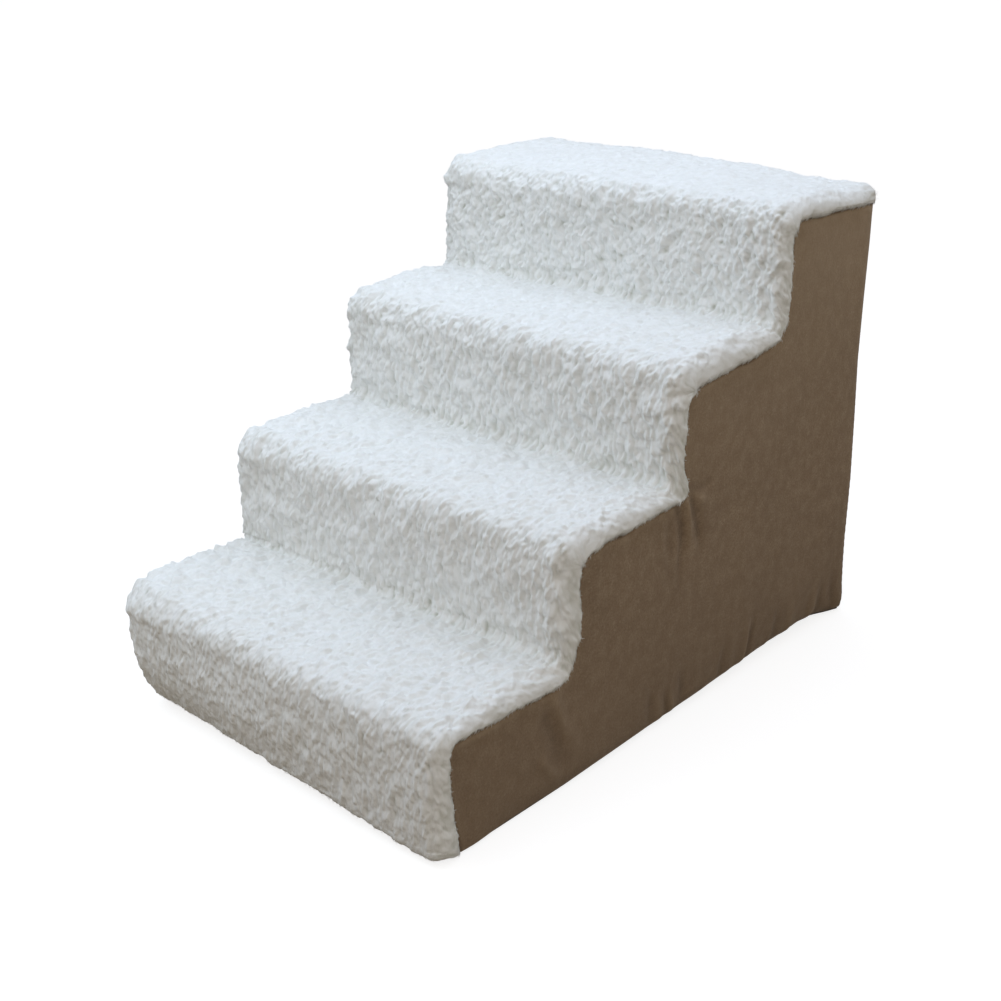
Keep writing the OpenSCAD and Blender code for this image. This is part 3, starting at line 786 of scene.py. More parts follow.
def fleece_form():
    """The surface of the pile as a grid of points, how deep each of them lies in the wool for the
    painted shade of its colour, and the facts of the grid's rows and columns."""
    line, way, inner, inset, tread, step, crest = stations()
    v = np.arange(len(line)) * ROW
    reach = seam_reach(line, way) + 0.3 + 0.9 * noise(v / 6.5, 0.0, 23)
    x, share, edge = section()
    rows, cols = len(line), len(x)
    side = np.abs(x) / HALF
    depth = share * reach[:, None]
    p = np.empty((rows, cols, 3))
    keep_in = np.where(x > 0, 0.45, 0.65) * np.sign(x) * np.minimum(side, 1) ** 3
    p[..., 0] = x - keep_in * inset[:, None]
    p[..., 1] = line[:, None, 0] - way[:, None, 0] * depth
    p[..., 2] = line[:, None, 1] - way[:, None, 1] * depth
    # past the back corner the edges end level with the side
    over = np.maximum(p[..., 1] - DEPTH - 0.6, 0)
    p[..., 1] -= over * smooth(share / 0.45)
    n = grid_normals(p)
    square_ends(p, x, share, line, step)
    relief, low = pile_relief(rows, cols, tread, step, crest)
    # the locks are flatter down the sides, and blurred where rows crowd in a crease
    packed = np.clip(np.linalg.norm(np.gradient(p, axis=0), axis=-1) / ROW, 0.1, 1)
    calm = 1 - mix(0.45, 0.6, tread[:, None]) * smooth((share - 0.08) / 0.4)
    ends = np.minimum(smooth(v / 6), smooth((v[-1] - v) / 5))[:, None]
    calm = calm * packed * (0.25 + 0.75 * ends)
    spread = relief
    for _ in range(5):
        spread = sum(np.roll(spread, i, 0) for i in range(-2, 3)) / 5
    relief = mix(spread, relief, smooth((packed - 0.5) / 0.4))
    p = p + n * (relief * calm + fullness(x, v, tread, step, crest) * np.sqrt(calm))[..., None]
    # risers two and three draw in at their left ends
    part = (p[..., 2] - FLOOR) / RISE % 1
    pinch = smooth((-p[..., 0] - 130) / 60) * np.sin(math.pi * part) * (1 - tread)[:, None]
    p[..., 0] += pinch * np.where(step == 2, 2.6, np.where(step == 1, 0.6, 0.0))[:, None]
    p[..., 2] = np.maximum(p[..., 2], 0.8)
    facts = SimpleNamespace(way=way, inner=inner, inset=inset, tread=tread, step=step, reach=reach,
                            x=x, share=share, edge=edge)
    return tuck(p), low, facts


def link_rings(outer, inner, inner_at):
    """Triangles between two closed rings of points. inner_at gives each inner point's place
    along the outer ring."""
    faces = []
    n, m = len(outer), len(inner)
    mid = np.append(inner_at, inner_at[0] + n)
    for j in range(m):
        a, b = mid[j], mid[j + 1]
        half = (a + b) // 2
        here, there = inner[j], inner[(j + 1) % m]
        for i in range(a, b):
            faces.append((outer[(i + 1) % n], outer[i % n], here if i < half else there))
        faces.append((outer[half % n], here, there))
    return np.array(faces)


def inner_skin(facts, keep, x, wide, deep, lowest):
    """A face of the fleece toward the foam, on the kept rows. wide is how far out each column
    lies, and deep how far inward its points lie from the inner line."""
    inner, way, inset = facts.inner[keep, None], facts.way[keep, None], facts.inset[keep, None]
    p = np.empty((len(inner), len(x), 3))
    p[..., 0] = np.sign(x) * wide - np.sign(x) * inset * np.minimum(np.abs(x) / HALF, 1) ** 3
    p[..., 1] = inner[..., 0] - way[..., 0] * deep
    p[..., 2] = np.maximum(inner[..., 1] - way[..., 1] * deep, lowest)
    return tuck(p)


def fleece_pieces():
    """The pile in eight pieces, which meet behind each nose and in each crease. Each is closed by
    a hidden face next to the backing, on fewer points."""
    p, low, facts = fleece_form()
    rows, cols = p.shape[:2]
    normals = grid_normals(p)
    v = np.arange(rows)[:, None] * ROW
    nap = flat_field(np.arange(cols) * COL, v).reshape(p.shape)
    deep = facts.share * (facts.reach[:, None] - PILE + NEAR)
    back = inner_skin(facts, slice(None), facts.x, np.minimum(np.abs(facts.x), HALF + NEAR), deep, 0.8)
    cuts = [0]
    for k, crease in enumerate([*crease_rows(facts.step), [rows - 1]]):
        of_tread = np.flatnonzero((facts.tread > 0.999) & (np.floor(facts.step) == k))
        cuts += [int(of_tread[0]) + int(12 / ROW), int(crease[len(crease) // 2])]
    made = []
    stride = max(2, int(round(6 / ROW)))
    names = [f"{w}_{k + 1}" for k in range(STEPS) for w in ("riser", "tread")]
    parts = list(zip(names, cuts[:-1], cuts[1:]))
    for name, a, b in parts:
        front = p[a:b + 1].reshape(-1, 3)
        nr = b - a + 1
        rr = np.unique(np.append(np.arange(0, nr - 1, stride), nr - 1))
        cc = np.unique(np.append(np.arange(0, cols - 1, stride), cols - 1))
        rear = back[a:b + 1][np.ix_(rr, cc)].reshape(-1, 3)
        count = len(front)
        outer_ring, inner_ring = rim(nr, cols), rim(len(rr), len(cc))
        where = {int(i): k for k, i in enumerate(outer_ring)}
        at = np.array([where[int(rr[i // len(cc)] * cols + cc[i % len(cc)])] for i in inner_ring])
        wall = link_rings(outer_ring, inner_ring + count, at)
        faces = [quads(nr, cols), quads(len(rr), len(cc), count)[:, ::-1], wall]
        uv = [grid_uv(cols, nr, low=0.06), grid_uv(len(cc), len(rr), top=0.045)]
        rear_normals = -normals[a:b + 1][np.ix_(rr, cc)].reshape(-1, 3)
        small = nap[a:b + 1][np.ix_(rr, cc)].reshape(-1, 3)
        made.append(make(
            "fleece_" + name, np.concatenate([front, rear]), faces, FLEECE, uv=np.concatenate(uv),
            fields={"nap": np.concatenate([nap[a:b + 1].reshape(-1, 3), small]),
                    # painted shade: the pile's colour darkens where the wool lies deep
                    "pile": np.clip(np.concatenate([low[a:b + 1].ravel(), np.zeros(len(rear))]), 0, 1)},
            normals=np.concatenate([normals[a:b + 1].reshape(-1, 3), rear_normals])))
    return made, parts, p, normals, facts


def fleece_backing(facts):
    """The knitted ground that carries the pile, one sheet from the foot to the back hem."""
    stride, last = max(1, int(round(4.5 / ROW))), len(facts.inner) - 1
    keep = np.unique(np.append(np.arange(0, last, stride), last))
    side = np.linspace(0, 1, 6)
    flat = np.linspace(-HALF, HALF, 70)
    cross = np.concatenate([-side[:0:-1] - HALF, flat, side[1:] + HALF])
    run = np.clip(np.abs(cross) - HALF, 0, 1)
    skins = []
    for offset in (NEAR - 0.05, GAP + 0.05):
        wide = np.minimum(np.abs(cross) / HALF, 1) * (HALF + offset)
        deep = run * (facts.reach[keep, None] - PILE + NEAR - 0.6) + NEAR - offset
        skins.append(inner_skin(facts, keep, cross, wide, deep, 0.7))
    at = flat_field(cross, keep[:, None] * ROW)
    return sheet_grid("fleece_backing", *skins, FLEECE, "fleece", {"nap": at, "pile": np.full(len(at), 0.5)})


def spindles(a, b, d, e, way, n, radius):
    """Closed three-sided hairs from a to e, which are thickest at b and thinner at d."""
    ring_axis = unit(np.cross(way, n + 0.01))
    other = unit(np.cross(way, ring_axis))
    count = len(a)
    points = np.empty((count, 8, 3))
    points[:, 0], points[:, 7] = a, e
    for i in range(3):
        t = 2 * math.pi * i / 3
        off = ring_axis * math.cos(t) + other * math.sin(t)
        points[:, 1 + i] = b + off * radius
        points[:, 4 + i] = d + off * radius * 0.7
    points[..., 2] = np.maximum(points[..., 2], 0.5)
    pattern = []
    for i in range(3):
        j = (i + 1) % 3
        pattern += [(0, 1 + j, 1 + i), (1 + i, 1 + j, 4 + j), (1 + i, 4 + j, 4 + i), (4 + i, 4 + j, 7)]
    return points, (np.arange(count)[:, None, None] * 8 + np.array(pattern)[None]).reshape(-1, 3)


def fibres(name, p, normals, tread, edge, count, seed):
    """Fine curved hairs that lie in the pile, each a closed spindle with a bend near its tip."""
    chance = np.random.default_rng(seed)
    rows, cols = p.shape[:2]
    r = chance.uniform(10 / ROW if name == "riser_1" else 1, rows - 2, count)
    c = chance.uniform(edge * 0.4, cols - edge * 0.4, count)
    hem = chance.random(count) < 0.16
    end = np.where(chance.random(count) < 0.5, 1, -1)
    c = np.where(hem, end * chance.uniform(1, edge * 0.3, count) % cols, c)
    ri, ci = r.astype(int), c.astype(int)
    base = p[ri, ci]
    packed = np.linalg.norm(p[ri + 1, ci] - base, axis=1) < 0.65 * ROW
    hem &= ~packed & (base[:, 1] < DEPTH - 14)
    n = normals[ri, ci]
    up = unit(p[np.minimum(ri + 2, rows - 1), ci] - p[np.maximum(ri - 2, 0), ci])
    across = np.cross(up, n)
    flat = tread[ri]
    swirl = chance.normal(0, 1, count) * mix(0.4, 0.7, flat) + 0.75 * flat
    outward = np.where(c < cols / 2, -1.0, 1.0) * mix(0.9, 1.5, flat) + chance.normal(0, 0.35, count)
    swirl = np.where(hem, outward, swirl)
    lean = (-np.cos(swirl)[:, None] * up + np.sin(swirl)[:, None] * across)
    length = chance.uniform(2.6, 6.0, count)
    stand = chance.uniform(0.05, 0.42, count)
    first = unit(lean * 0.9 + n * stand[:, None])
    curl = chance.normal(0, 0.5, (count, 1)) * across
    second = unit(first + curl + lean * 0.5 - n * 0.35 + np.array([0, 0, -0.25]))
    a = base - n * 0.5
    b = a + first * (length * 0.45)[:, None]
    d = b + second * (length * 0.35)[:, None]
    e = d + unit(second + curl * 0.6 - n * 0.2) * (length * 0.25)[:, None]
    radius = (chance.uniform(0.06, 0.11, count) * np.where(hem, 2.2, 1.0))[:, None]
    points, faces = spindles(a, b, d, e, first, n, radius)
    place_uv = np.stack([ci / cols, ri / rows], -1) * 0.98 + 0.005
    uv = (place_uv[:, None, :] + np.array([(0, 0), (1, 0), (1, 1), (0, 1), (2, 0), (2, 1), (1, 2), (3, 1)])
          * 0.0008).reshape(-1, 2)
    shade = np.repeat(chance.random(count), 8)
    return make("fibres_" + name, points.reshape(-1, 3), [faces], FIBRE, uv=uv,
                fields={"pile": shade})


# brown cloth
def nearest(points, path):
    """Shortest distance from each point to a line of points, and how level the line runs there."""
    a, d = path[:-1], np.diff(path, axis=0)
    long = np.hypot(d[:, 0], d[:, 1])
    gaps = np.empty((len(d), len(points)))
    for i in range(len(d)):
        t = np.clip(((points - a[i]) @ d[i]) / max(long[i] ** 2, 1e-9), 0, 1)
        gaps[i] = np.linalg.norm(points - a[i] - t[:, None] * d[i], axis=1)
    best = gaps.min(0)
    weight = np.exp(-(gaps - best) / 4)
    level = (weight * (np.abs(d[:, 0]) / np.maximum(long, 1e-9))[:, None]).sum(0) / weight.sum(0)
    return best, level


def resample(path, step):
    """Evenly spaced points along a line, about a step apart."""
    long = run_of(path)[-1]
    return on_line(path, np.linspace(0, long, max(2, int(round(long / step)) + 1)))


def scatter(depths, heights, shift=0.0):
    """Points in rows, every other row shifted."""
    y, z = np.meshgrid(depths, heights)
    y = y + (np.arange(len(heights)) % 2)[:, None] * shift
    return np.stack([y.ravel(), z.ravel()], -1)


def inside(points, ring):
    """Whether each point lies within a closed outline."""
    x, y = points[:, 0], points[:, 1]
    odd = np.zeros(len(points), bool)
    for (ax, ay), (bx, by) in zip(ring, np.roll(ring, -1, axis=0)):
        if ay == by:
            continue
        crossed = (ay > y) != (by > y)
        odd ^= crossed & (x < (bx - ax) * (y - ay) / (by - ay) + ax)
    return odd


# Folds of the right side, as lines of (depth, height) from their deepest end, width and height:
# two below the middle crease with a ridge between, gathers at the foot, and slanted ones in front.
FOLDS = [
    ([(300, 215), (305, 195), (307, 177), (302, 150), (301, 120)], 4.2, -3.5),
    ([(322, 211), (329, 187), (332, 169), (333, 145)], 3.9, -3.5),
    ([(313, 210), (315, 189), (317, 155)], 3.6, 2.6),
    ([(288, 196), (288, 164), (289, 120)], 6.0, -1.0),
    ([(324, 211), (349, 203)], 5.0, 1.5),
    ([(316, 223), (342, 219), (358, 222)], 4.0, -1.4),
    ([(416, 8), (415, 40), (409, 84)], 4.5, 1.4),
    ([(424, 8), (424, 40), (426, 76)], 4.5, -2.0),
    ([(498, 8), (492, 64)], 6.0, 1.2),
    ([(473, 10), (465, 70)], 6.0, -1.4),
    ([(555, 8), (546, 58)], 5.0, -1.7),
    ([(540, 10), (534, 60)], 5.0, 1.2),
    ([(580, 8), (571, 60)], 5.0, -1.5),
    ([(376, 12), (378, 54)], 4.2, -1.3),
    ([(314, 10), (309, 58)], 5.0, -1.8),
    ([(299, 8), (290, 44)], 3.4, 1.4),
    ([(292, 6), (284, 42)], 3.4, -1.6),
    ([(281, 6), (269, 46)], 4.0, 1.1),
    ([(266, 8), (260, 60)], 5.0, -1.2),
    ([(133, 92), (143, 62), (183, 8)], 6.5, 1.6),
    ([(124, 76), (135, 44), (150, 8)], 8.0, -1.7),
    ([(116, 38), (142, 4)], 4.5, 1.2),
]


def fold(y, z, line, width, height):
    """A fold along a line of points, which fades toward its last point."""
    best, share = np.full(y.shape, 1e9), np.zeros(y.shape)
    for i, (a, b) in enumerate(zip(line[:-1], line[1:])):
        dy, dz = b[0] - a[0], b[1] - a[1]
        t = np.clip(((y - a[0]) * dy + (z - a[1]) * dz) / (dy * dy + dz * dz), 0, 1)
        gap = np.hypot(y - a[0] - t * dy, z - a[1] - t * dz)
        share = np.where(gap < best, (i + t) / (len(line) - 1), share)
        best = np.minimum(best, gap)
    return 1.6 * height * np.exp(-(best / width) ** 2) * (1 - smooth((share - 0.3) / 0.7))


def side_folds(y, z, side, seed):
    """All folds of a side. The left one has its own, near the same places."""
    chance = np.random.default_rng(seed)
    total = np.zeros(y.shape)
    for line, width, height in FOLDS:
        if side < 0:
            shift, part = chance.uniform(-13, 13), chance.uniform(0.35, 0.95)
            line, height = [(a + shift, b) for a, b in line], height * part
        total += fold(y, z, line, width, height)
    return total


def side_relief(y, z, to_seam, level, folds, seed):
    """How far a side's cloth stands out: a soft bulge, a rolled edge along the seam that is
    fullest under the treads, folds, and the faint unevenness of stretched cloth."""
    out = 2.6 * (1 - np.exp(-to_seam / 30))
    out = out + 1.5 * level * np.minimum(to_seam / 6, 1) * np.exp(-np.maximum(to_seam - 6, 0) / 14)
    out = out + 0.5 * np.exp(-((to_seam - 3.2) / 1.5) ** 2) - 0.9 * np.exp(-to_seam / 1.2)
    out = out + 0.2 * np.sin(y / 3.1 + 2.2 * noise(y / 19, z / 19, seed + 1)) \
        * np.exp(-((to_seam - 3.5) / 4) ** 2)
    for cy, cz, height in ((157, 103, -1.0), (452, 327, -1.0), (313, 212, -1.2)):
        out = out + height * np.exp(-((y - cy) ** 2 + (z - cz) ** 2) / 60)
    near_foot = np.clip((y - 255) / 130, 0, 1) * np.exp(-((z - 22) / 40) ** 2)
    bend = y + 9 * noise(y / 47, z / 90, seed + 4)
    out = out + near_foot * 0.45 * (np.sin(bend / 41 * 2 * math.pi) + 0.5 * np.sin(bend / 19 * 2 * math.pi))
    out = out + 0.9 * noise(y / 95, z / 120, seed) + 0.35 * noise(y / 31, z / 58, seed + 2)
    out = out + 0.12 * noise(y / 9, z / 14, seed + 3) + folds
    return np.maximum(out, -0.15) * smooth(to_seam / 2.5) - 0.2 * (1 - smooth(to_seam / 2.5))


def side_outline(side, edge):
    """The outline of a side's cloth: a little way under the fleece past the sewn edge, down the
    back corner, and along the foot."""
    way = unit(np.gradient(edge, axis=0))
    under = edge + np.stack([-way[:, 1], way[:, 0]], -1) * 1.1
    under = under[under[:, 0] < BACK_LINE - 0.3 * back_round(425)]
    low_z = FLOOR + 0.05 * foot_round(under[0, 0], side)
    under = under[under[:, 1] > low_z + 1]
    heights = np.arange(under[-1, 1] - 2, FLOOR + 3, -3.0)
    rear = np.stack([BACK_LINE - HALFWAY * back_round(heights), heights], -1)
    depths = np.arange(rear[-1, 0], under[0, 0], -3.0)
    foot = np.stack([depths, FLOOR + 0.05 * foot_round(depths, side)], -1)
    return np.concatenate([under, rear, foot])


def side_net(ring):
    """Points and triangles within an outline: fine ones near the seam, coarse ones elsewhere, and
    rows along the foot."""
    coarse = scatter(np.arange(4, DEPTH, 4.0), np.arange(FLOOR + 6, TOP, 4.0), 2.0)
    coarse = coarse[nearest(coarse, SEAM[::2])[0] > 10.5]
    fine = scatter(np.arange(2, DEPTH, 1.7), np.arange(FLOOR + 2, TOP, 1.7), 0.85)
    fine = fine[nearest(fine, SEAM[::2])[0] < 11]
    hem = scatter(np.arange(20, DEPTH - 2, 3.0), FLOOR + np.array([1.6, 2.6, 4.2]))
    pts = np.concatenate([coarse, fine, hem])
    pts = pts[inside(pts, ring)]
    pts = pts[nearest(pts, np.concatenate([ring, ring[:1]]))[0] > 0.8]
    n = len(ring)
    loop = [(i, (i + 1) % n) for i in range(n)]
    made = geometry.delaunay_2d_cdt([Vector(q) for q in np.concatenate([ring, pts])], loop, [], 1, 1e-5)
    return np.array([tuple(q) for q in made[0]]), np.array([f for f in made[2] if len(f) == 3])


def open_edges(tris):
    """The edges that only one triangle uses, in that triangle's order."""
    pairs = np.concatenate([tris[:, [0, 1]], tris[:, [1, 2]], tris[:, [2, 0]]])
    key = np.sort(pairs, axis=1)
    _, first, uses = np.unique(key, axis=0, return_index=True, return_counts=True)
    return pairs[first[uses == 1]]


def side_cloth(side, seed):
    """One side, cut to the stair outline, and the area of its flat cloth."""
    wobble = 0.6 if side < 0 else 0.0
    edge = resample(SEAM, 2.2)
    edge = edge[edge[:, 1] > FLOOR + 1.0]
    edge[:, 1] += wobble * noise(edge[:, 0] / 17, edge[:, 1] / 17, seed + 9)
    ring = side_outline(side, edge)
    flat, tris = side_net(ring)
    y, z = flat[:, 0], flat[:, 1]
    to_seam, level = nearest(flat, edge)
    folds = side_folds(y, z, side, seed)
    r, rb = foot_round(y, side), back_round(z)
    in_foot = rounded(r - (z - FLOOR), r)
    in_back = rounded(y - BACK_LINE + rb, rb)
    lift = side_relief(y, z, to_seam, level, folds, seed)
    calm = smooth((BACK_LINE - 1 - y) / 12) * (0.15 + 0.85 * smooth((z - FLOOR) / 14))
    flare = 2.6 * np.exp(-((y - 34) / 24) ** 2) * np.clip(1 - z / 40, 0, 1) * (side > 0)
    x = SIDE_LINE + lift * calm + flare - in_foot - in_back
    heel = rounded(HEEL - (z - FLOOR), HEEL) * smooth((y - DEPTH + 24) / 24)
    outer = tuck(np.stack([side * x, y - heel, z], -1))
    order = np.cross(outer[tris[:, 1]] - outer[tris[:, 0]], outer[tris[:, 2]] - outer[tris[:, 0]])
    if (order[:, 0] * side).sum() < 0:
        tris = tris[:, ::-1]
    n_out = point_normals(outer, tris)
    inner = outer - n_out * CLOTH
    lone = open_edges(tris)
    m = len(outer)
    wall = np.stack([lone[:, 1], lone[:, 0], lone[:, 0] + m, lone[:, 1] + m], -1)
    uv = np.stack([y / DEPTH, z / TOP * 0.49], -1) * 0.98 + 0.01
    # painted highlight along the rolled edge under the seams, fullest under the treads and toward the front,
    # and on fold ridges
    wear_and_highlight = np.exp(-((to_seam - 4.5) / 3.5) ** 2) * level * (0.45 + 0.4 * smooth((130 - y) / 60)) \
        * (1 + 0.4 * noise(y / 12, z / 12, seed + 7))
    wear_and_highlight = np.maximum(wear_and_highlight, 0.16 * np.clip(folds, 0, 4))
    # a dark seam line, with painted shadow under the fleece's lip that is deepest under the treads, and
    # painted shade in fold hollows
    dark = np.exp(-(np.maximum(to_seam - 1.2, 0) / 1.3) ** 2) * (0.35 + 0.55 * level)
    dark = np.maximum(dark, 0.1 * np.clip(-folds, 0, 4))
    at = np.stack([y, z, 0 * y], -1)
    name = "side_cloth_right" if side > 0 else "side_cloth_left"
    obj = make(name, np.concatenate([outer, inner]),
               [np.concatenate([tris, tris[:, ::-1] + m]), wall], BROWN,
               uv=np.concatenate([uv, uv + np.array([0, 0.5])]),
               fields={"cloth": np.concatenate([at, at]), "wear_and_highlight": np.clip(np.tile(wear_and_highlight, 2), 0, 1),
                       "dark": np.clip(np.tile(dark, 2), 0, 1)})
    area = 0.5 * abs(np.sum(ring[:, 0] * np.roll(ring[:, 1], -1) - ring[:, 1] * np.roll(ring[:, 0], -1)))
    return obj, area


def back_foot(s):
    """Rounding between the back and the base, which is smaller at the corners."""
    return mix(HEEL, BACK_FOOT, smooth((1 - np.abs(s)) * 3.5))


def back_cloth(upper):
    """The back above or below the zip. It eases out to the zip and folds in at its window."""
    if upper:
        heights = [np.arange(ZIP_Z + WINDOW, ZIP_Z + 24, 1.6), np.arange(ZIP_Z + 24, TOP - 3, 4.0),
                   [TOP - 1.2, TOP + 0.6, TOP + 1.8]]
    else:
        heights = [[FLOOR + 0.4, FLOOR + 1.2], np.arange(FLOOR + 2.6, ZIP_Z - 20, 2.2),
                   np.arange(ZIP_Z - 20, ZIP_Z - WINDOW, 1.6), [ZIP_Z - WINDOW]]
    heights = np.concatenate(heights)
    # two more columns at each end lie inside the side's cloth, so the corner seam is closed
    cols = np.concatenate([[-1.02, -1.01], np.linspace(-1, 1, 111), [1.01, 1.02]])
    z, s = np.meshgrid(heights, cols, indexing="ij")
    laps = np.round((np.abs(s) - 1) * 100).clip(0, 2)
    s = s.clip(-1, 1)
    away = np.abs(z - ZIP_Z)
    middle = smooth((1 - np.abs(s)) * 16)
    flat = np.maximum(smooth((away - 14) / 42) if upper else smooth((away - 12) / 20), 1 - middle)
    y = mix(TAPE_FACE, DEPTH + GAP, flat) + CLOTH - 1.2 * smooth((z - TOP + 0.8) / 2)
    foot = back_foot(s)
    y = y - rounded(foot - (z - FLOOR), foot)
    wide = SIDE_LINE - HALFWAY * back_round(z)
    corner = corner_round(s * wide, z)
    x = s * (wide - rounded(HEEL - (z - FLOOR), HEEL))
    closed = smooth((np.abs(x) - HALF + ZIP_END) / 8) * np.clip(1 - (away - WINDOW) / 15, 0, 1)
    pucker = np.exp(-((away - 13) / 7) ** 2)
    lift = 0.25 * pucker * (1 + np.sin(x / 5.3 + 2 * noise(x / 23, z / 23, 61)))
    lift += np.clip(0.9 * noise(x / 90, z / 120, 62) + 0.45 * noise(x / 34, z / 60, 63) + 0.5, 0, 2) \
        * smooth((away - 16) / 30) * smooth((TOP - z) / 40) * (1.0 if upper else 0.3)
    edge = np.exp(-((away - 10) / 1.8) ** 2) * 0.3
    y = y + (lift + edge) * smooth((1 - np.abs(s)) * 20) - corner - 1.8 * laps
    x = x + 0.3 * laps * np.sign(s)
    z = z - (WINDOW - 0.1) * (1 if upper else -1) * closed
    outer = tuck(np.stack([x, y, z], -1))
    # a paler line along the folded edge of the zip window
    wear_and_highlight = (np.exp(-((away - 8.6) / 0.9) ** 2) * 0.8).ravel()
    return sheet_grid("back_cloth_upper" if upper else "back_cloth_lower", outer,
                      outer + grid_normals(outer) * CLOTH, BROWN, "brown_cloth",
                      {"cloth": flat_field(x, z), "wear_and_highlight": wear_and_highlight}, turned=True)


def base_cloth():
    """Woven base inside the foot's rounding, slightly slack between its seams."""
    s, t = np.meshgrid(np.linspace(-1, 1, 103), np.linspace(0, 1, 149))
    y = mix(14.0, BACK_LINE - back_foot(s) * 0.8, t)
    wide = SIDE_LINE - foot_round(y, s) * 0.74
    x = s * (wide - 8 * (1 - smooth(t * 25)))
    rest = np.minimum(smooth((1 - np.abs(s)) * 8), smooth(np.minimum(t, 1 - t) * 10))
    z = 1.45 + 0.15 * noise(x / 23, y / 31, 71) * rest
    outer = tuck(np.stack([x, y, z], -1))
    inner = tuck(np.stack([x, y, z], -1))
    inner[..., 2] = np.maximum(0.05, 0.16 - 0.14 * noise(x / 26, y / 22, 72) * rest)
    # paler along the base's side edges
    wear_and_highlight = (np.exp(-((1 - np.abs(s)) * 60) ** 2) * 0.5).ravel()
    return sheet_grid("base_cloth", outer, inner, BASE, "base_cloth",
                      {"cloth": flat_field(x, y), "wear_and_highlight": wear_and_highlight}, beside=True)


# foam
def slab_outline(k):
    """A slab's outline in depth and height: a rounded nose, and a rounded foot on the lowest."""
    front, level, below = k * GOING, FLOOR + (k + 1) * RISE, FLOOR + k * RISE
    outline = [(front + NOSE * (1 - math.cos(a)), level - NOSE * (1 - math.sin(a)))
               for a in np.radians(np.linspace(0, 90, 10))]
    outline = [(front, below)] + outline + [(DEPTH, level), (DEPTH, below)]
    if k == 0:
        arc = np.radians(np.linspace(88, 0, 8))
        outline = [(FOOT * (1 - math.cos(a)), FLOOR + FOOT * (1 - math.sin(a))) for a in arc] \
            + outline[2:-1] + [(DEPTH - FOOT * (1 - math.cos(a)), FLOOR + FOOT * (1 - math.sin(a)))
                               for a in arc[::-1]]
    return np.array(outline)


def even_mesh(outline):
    """A solid from side to side with this outline, with its faces in even squares."""
    n = len(outline)
    points = np.concatenate([np.insert(outline, 0, -HALF, axis=1), np.insert(outline, 0, HALF, axis=1)])
    mesh = bpy.data.meshes.new("slab")
    ring = list(range(n))
    faces = [ring[::-1], [i + n for i in ring]]
    faces += [[i, (i + 1) % n, (i + 1) % n + n, i + n] for i in ring]
    mesh.from_pydata((points * MM).tolist(), [], faces)
    obj = add_object("slab", mesh)
    modifier = obj.modifiers.new("remesh", "REMESH")
    modifier.mode = "VOXEL"
    modifier.voxel_size = 6 * MM
    bpy.context.view_layer.update()
    made = bpy.data.meshes.new_from_object(obj.evaluated_get(bpy.context.evaluated_depsgraph_get()))
    bpy.data.objects.remove(obj)
    return made


def foam_slab(k):
    """One glued slab of cut foam with slightly softened edges."""
    front, level, below = k * GOING, FLOOR + (k + 1) * RISE, FLOOR + k * RISE
    made = even_mesh(slab_outline(k))
    co = np.empty(len(made.vertices) * 3)
    made.vertices.foreach_get("co", co)
    co = co.reshape(-1, 3) / MM
    middle = np.array([0, (front + DEPTH) / 2, (below + level) / 2])
    half = np.array([HALF, (DEPTH - front) / 2, RISE / 2])
    # edges soften a little and the faces hollow by a hair, and nothing grows
    away = np.abs(co - middle) / half
    corner = np.sort(away, axis=-1)[:, 1]
    co = middle + (co - middle) * (1 - 0.004 * smooth((corner[:, None] - 0.9) * 10))
    y, z = co[:, 1], co[:, 2]
    co[:, 0] -= np.sign(co[:, 0]) * 0.3 * (1 + noise(y / 40, z / 30, 81 + k)) * (away[:, 0] > 0.9)
    if k == 0:
        foot = foot_round(y, co[:, 0]) + 1
        inset = rounded(foot - (z - FLOOR), foot, 0.98) * smooth((away[:, 0] - 0.9) * 10)
        co[:, 0] -= np.sign(co[:, 0]) * inset
    rear = back_round(z) + 1
    inset = rounded(np.abs(co[:, 0]) - (HALF - rear), rear, 0.92)
    co[:, 1] -= inset * smooth((y - DEPTH + 30) / 30)
    co = tuck(co)
    co[:, 2] = np.maximum(co[:, 2], FLOOR + 0.1)
    made.vertices.foreach_set("co", place(co).ravel())
    made.polygons.foreach_set("use_smooth", np.ones(len(made.polygons), bool))
    made.materials.clear()
    made.materials.append(FOAM)
    name = f"foam_step_{k + 1}"
    made.name = name
    slab = add_object(name, made)
    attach(slab, "stairs")
    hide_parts(f"foam_slab_{k + 1}")


# zip
def tape(side):
    """A woven tape from under the cloth to the bead of the teeth, bent round at its ends."""
    s = np.linspace(-1, 1, 171)
    t = np.linspace(0, 1, 9)
    t, s = np.meshgrid(t, s, indexing="ij")
    x = s * (HALF - TAPE_IN)
    z = ZIP_Z + side * mix(3.0, 16.0, t)
    y = mix(DEPTH + 0.1, ZIP_Y, smooth((HALF - 1 - np.abs(x)) / 12)) - corner_round(x, z)
    y = y + 0.08 * noise(x / 11, z / 6, 91)
    skins = [tuck(np.stack([x, y + half, z], -1)) for half in (TAPE_HALF, -TAPE_HALF)]
    return sheet_grid("tape_upper" if side > 0 else "tape_lower", *skins, TAPE, "zip_tape",
                      {"cloth": flat_field(x, z)}, turned=side > 0)


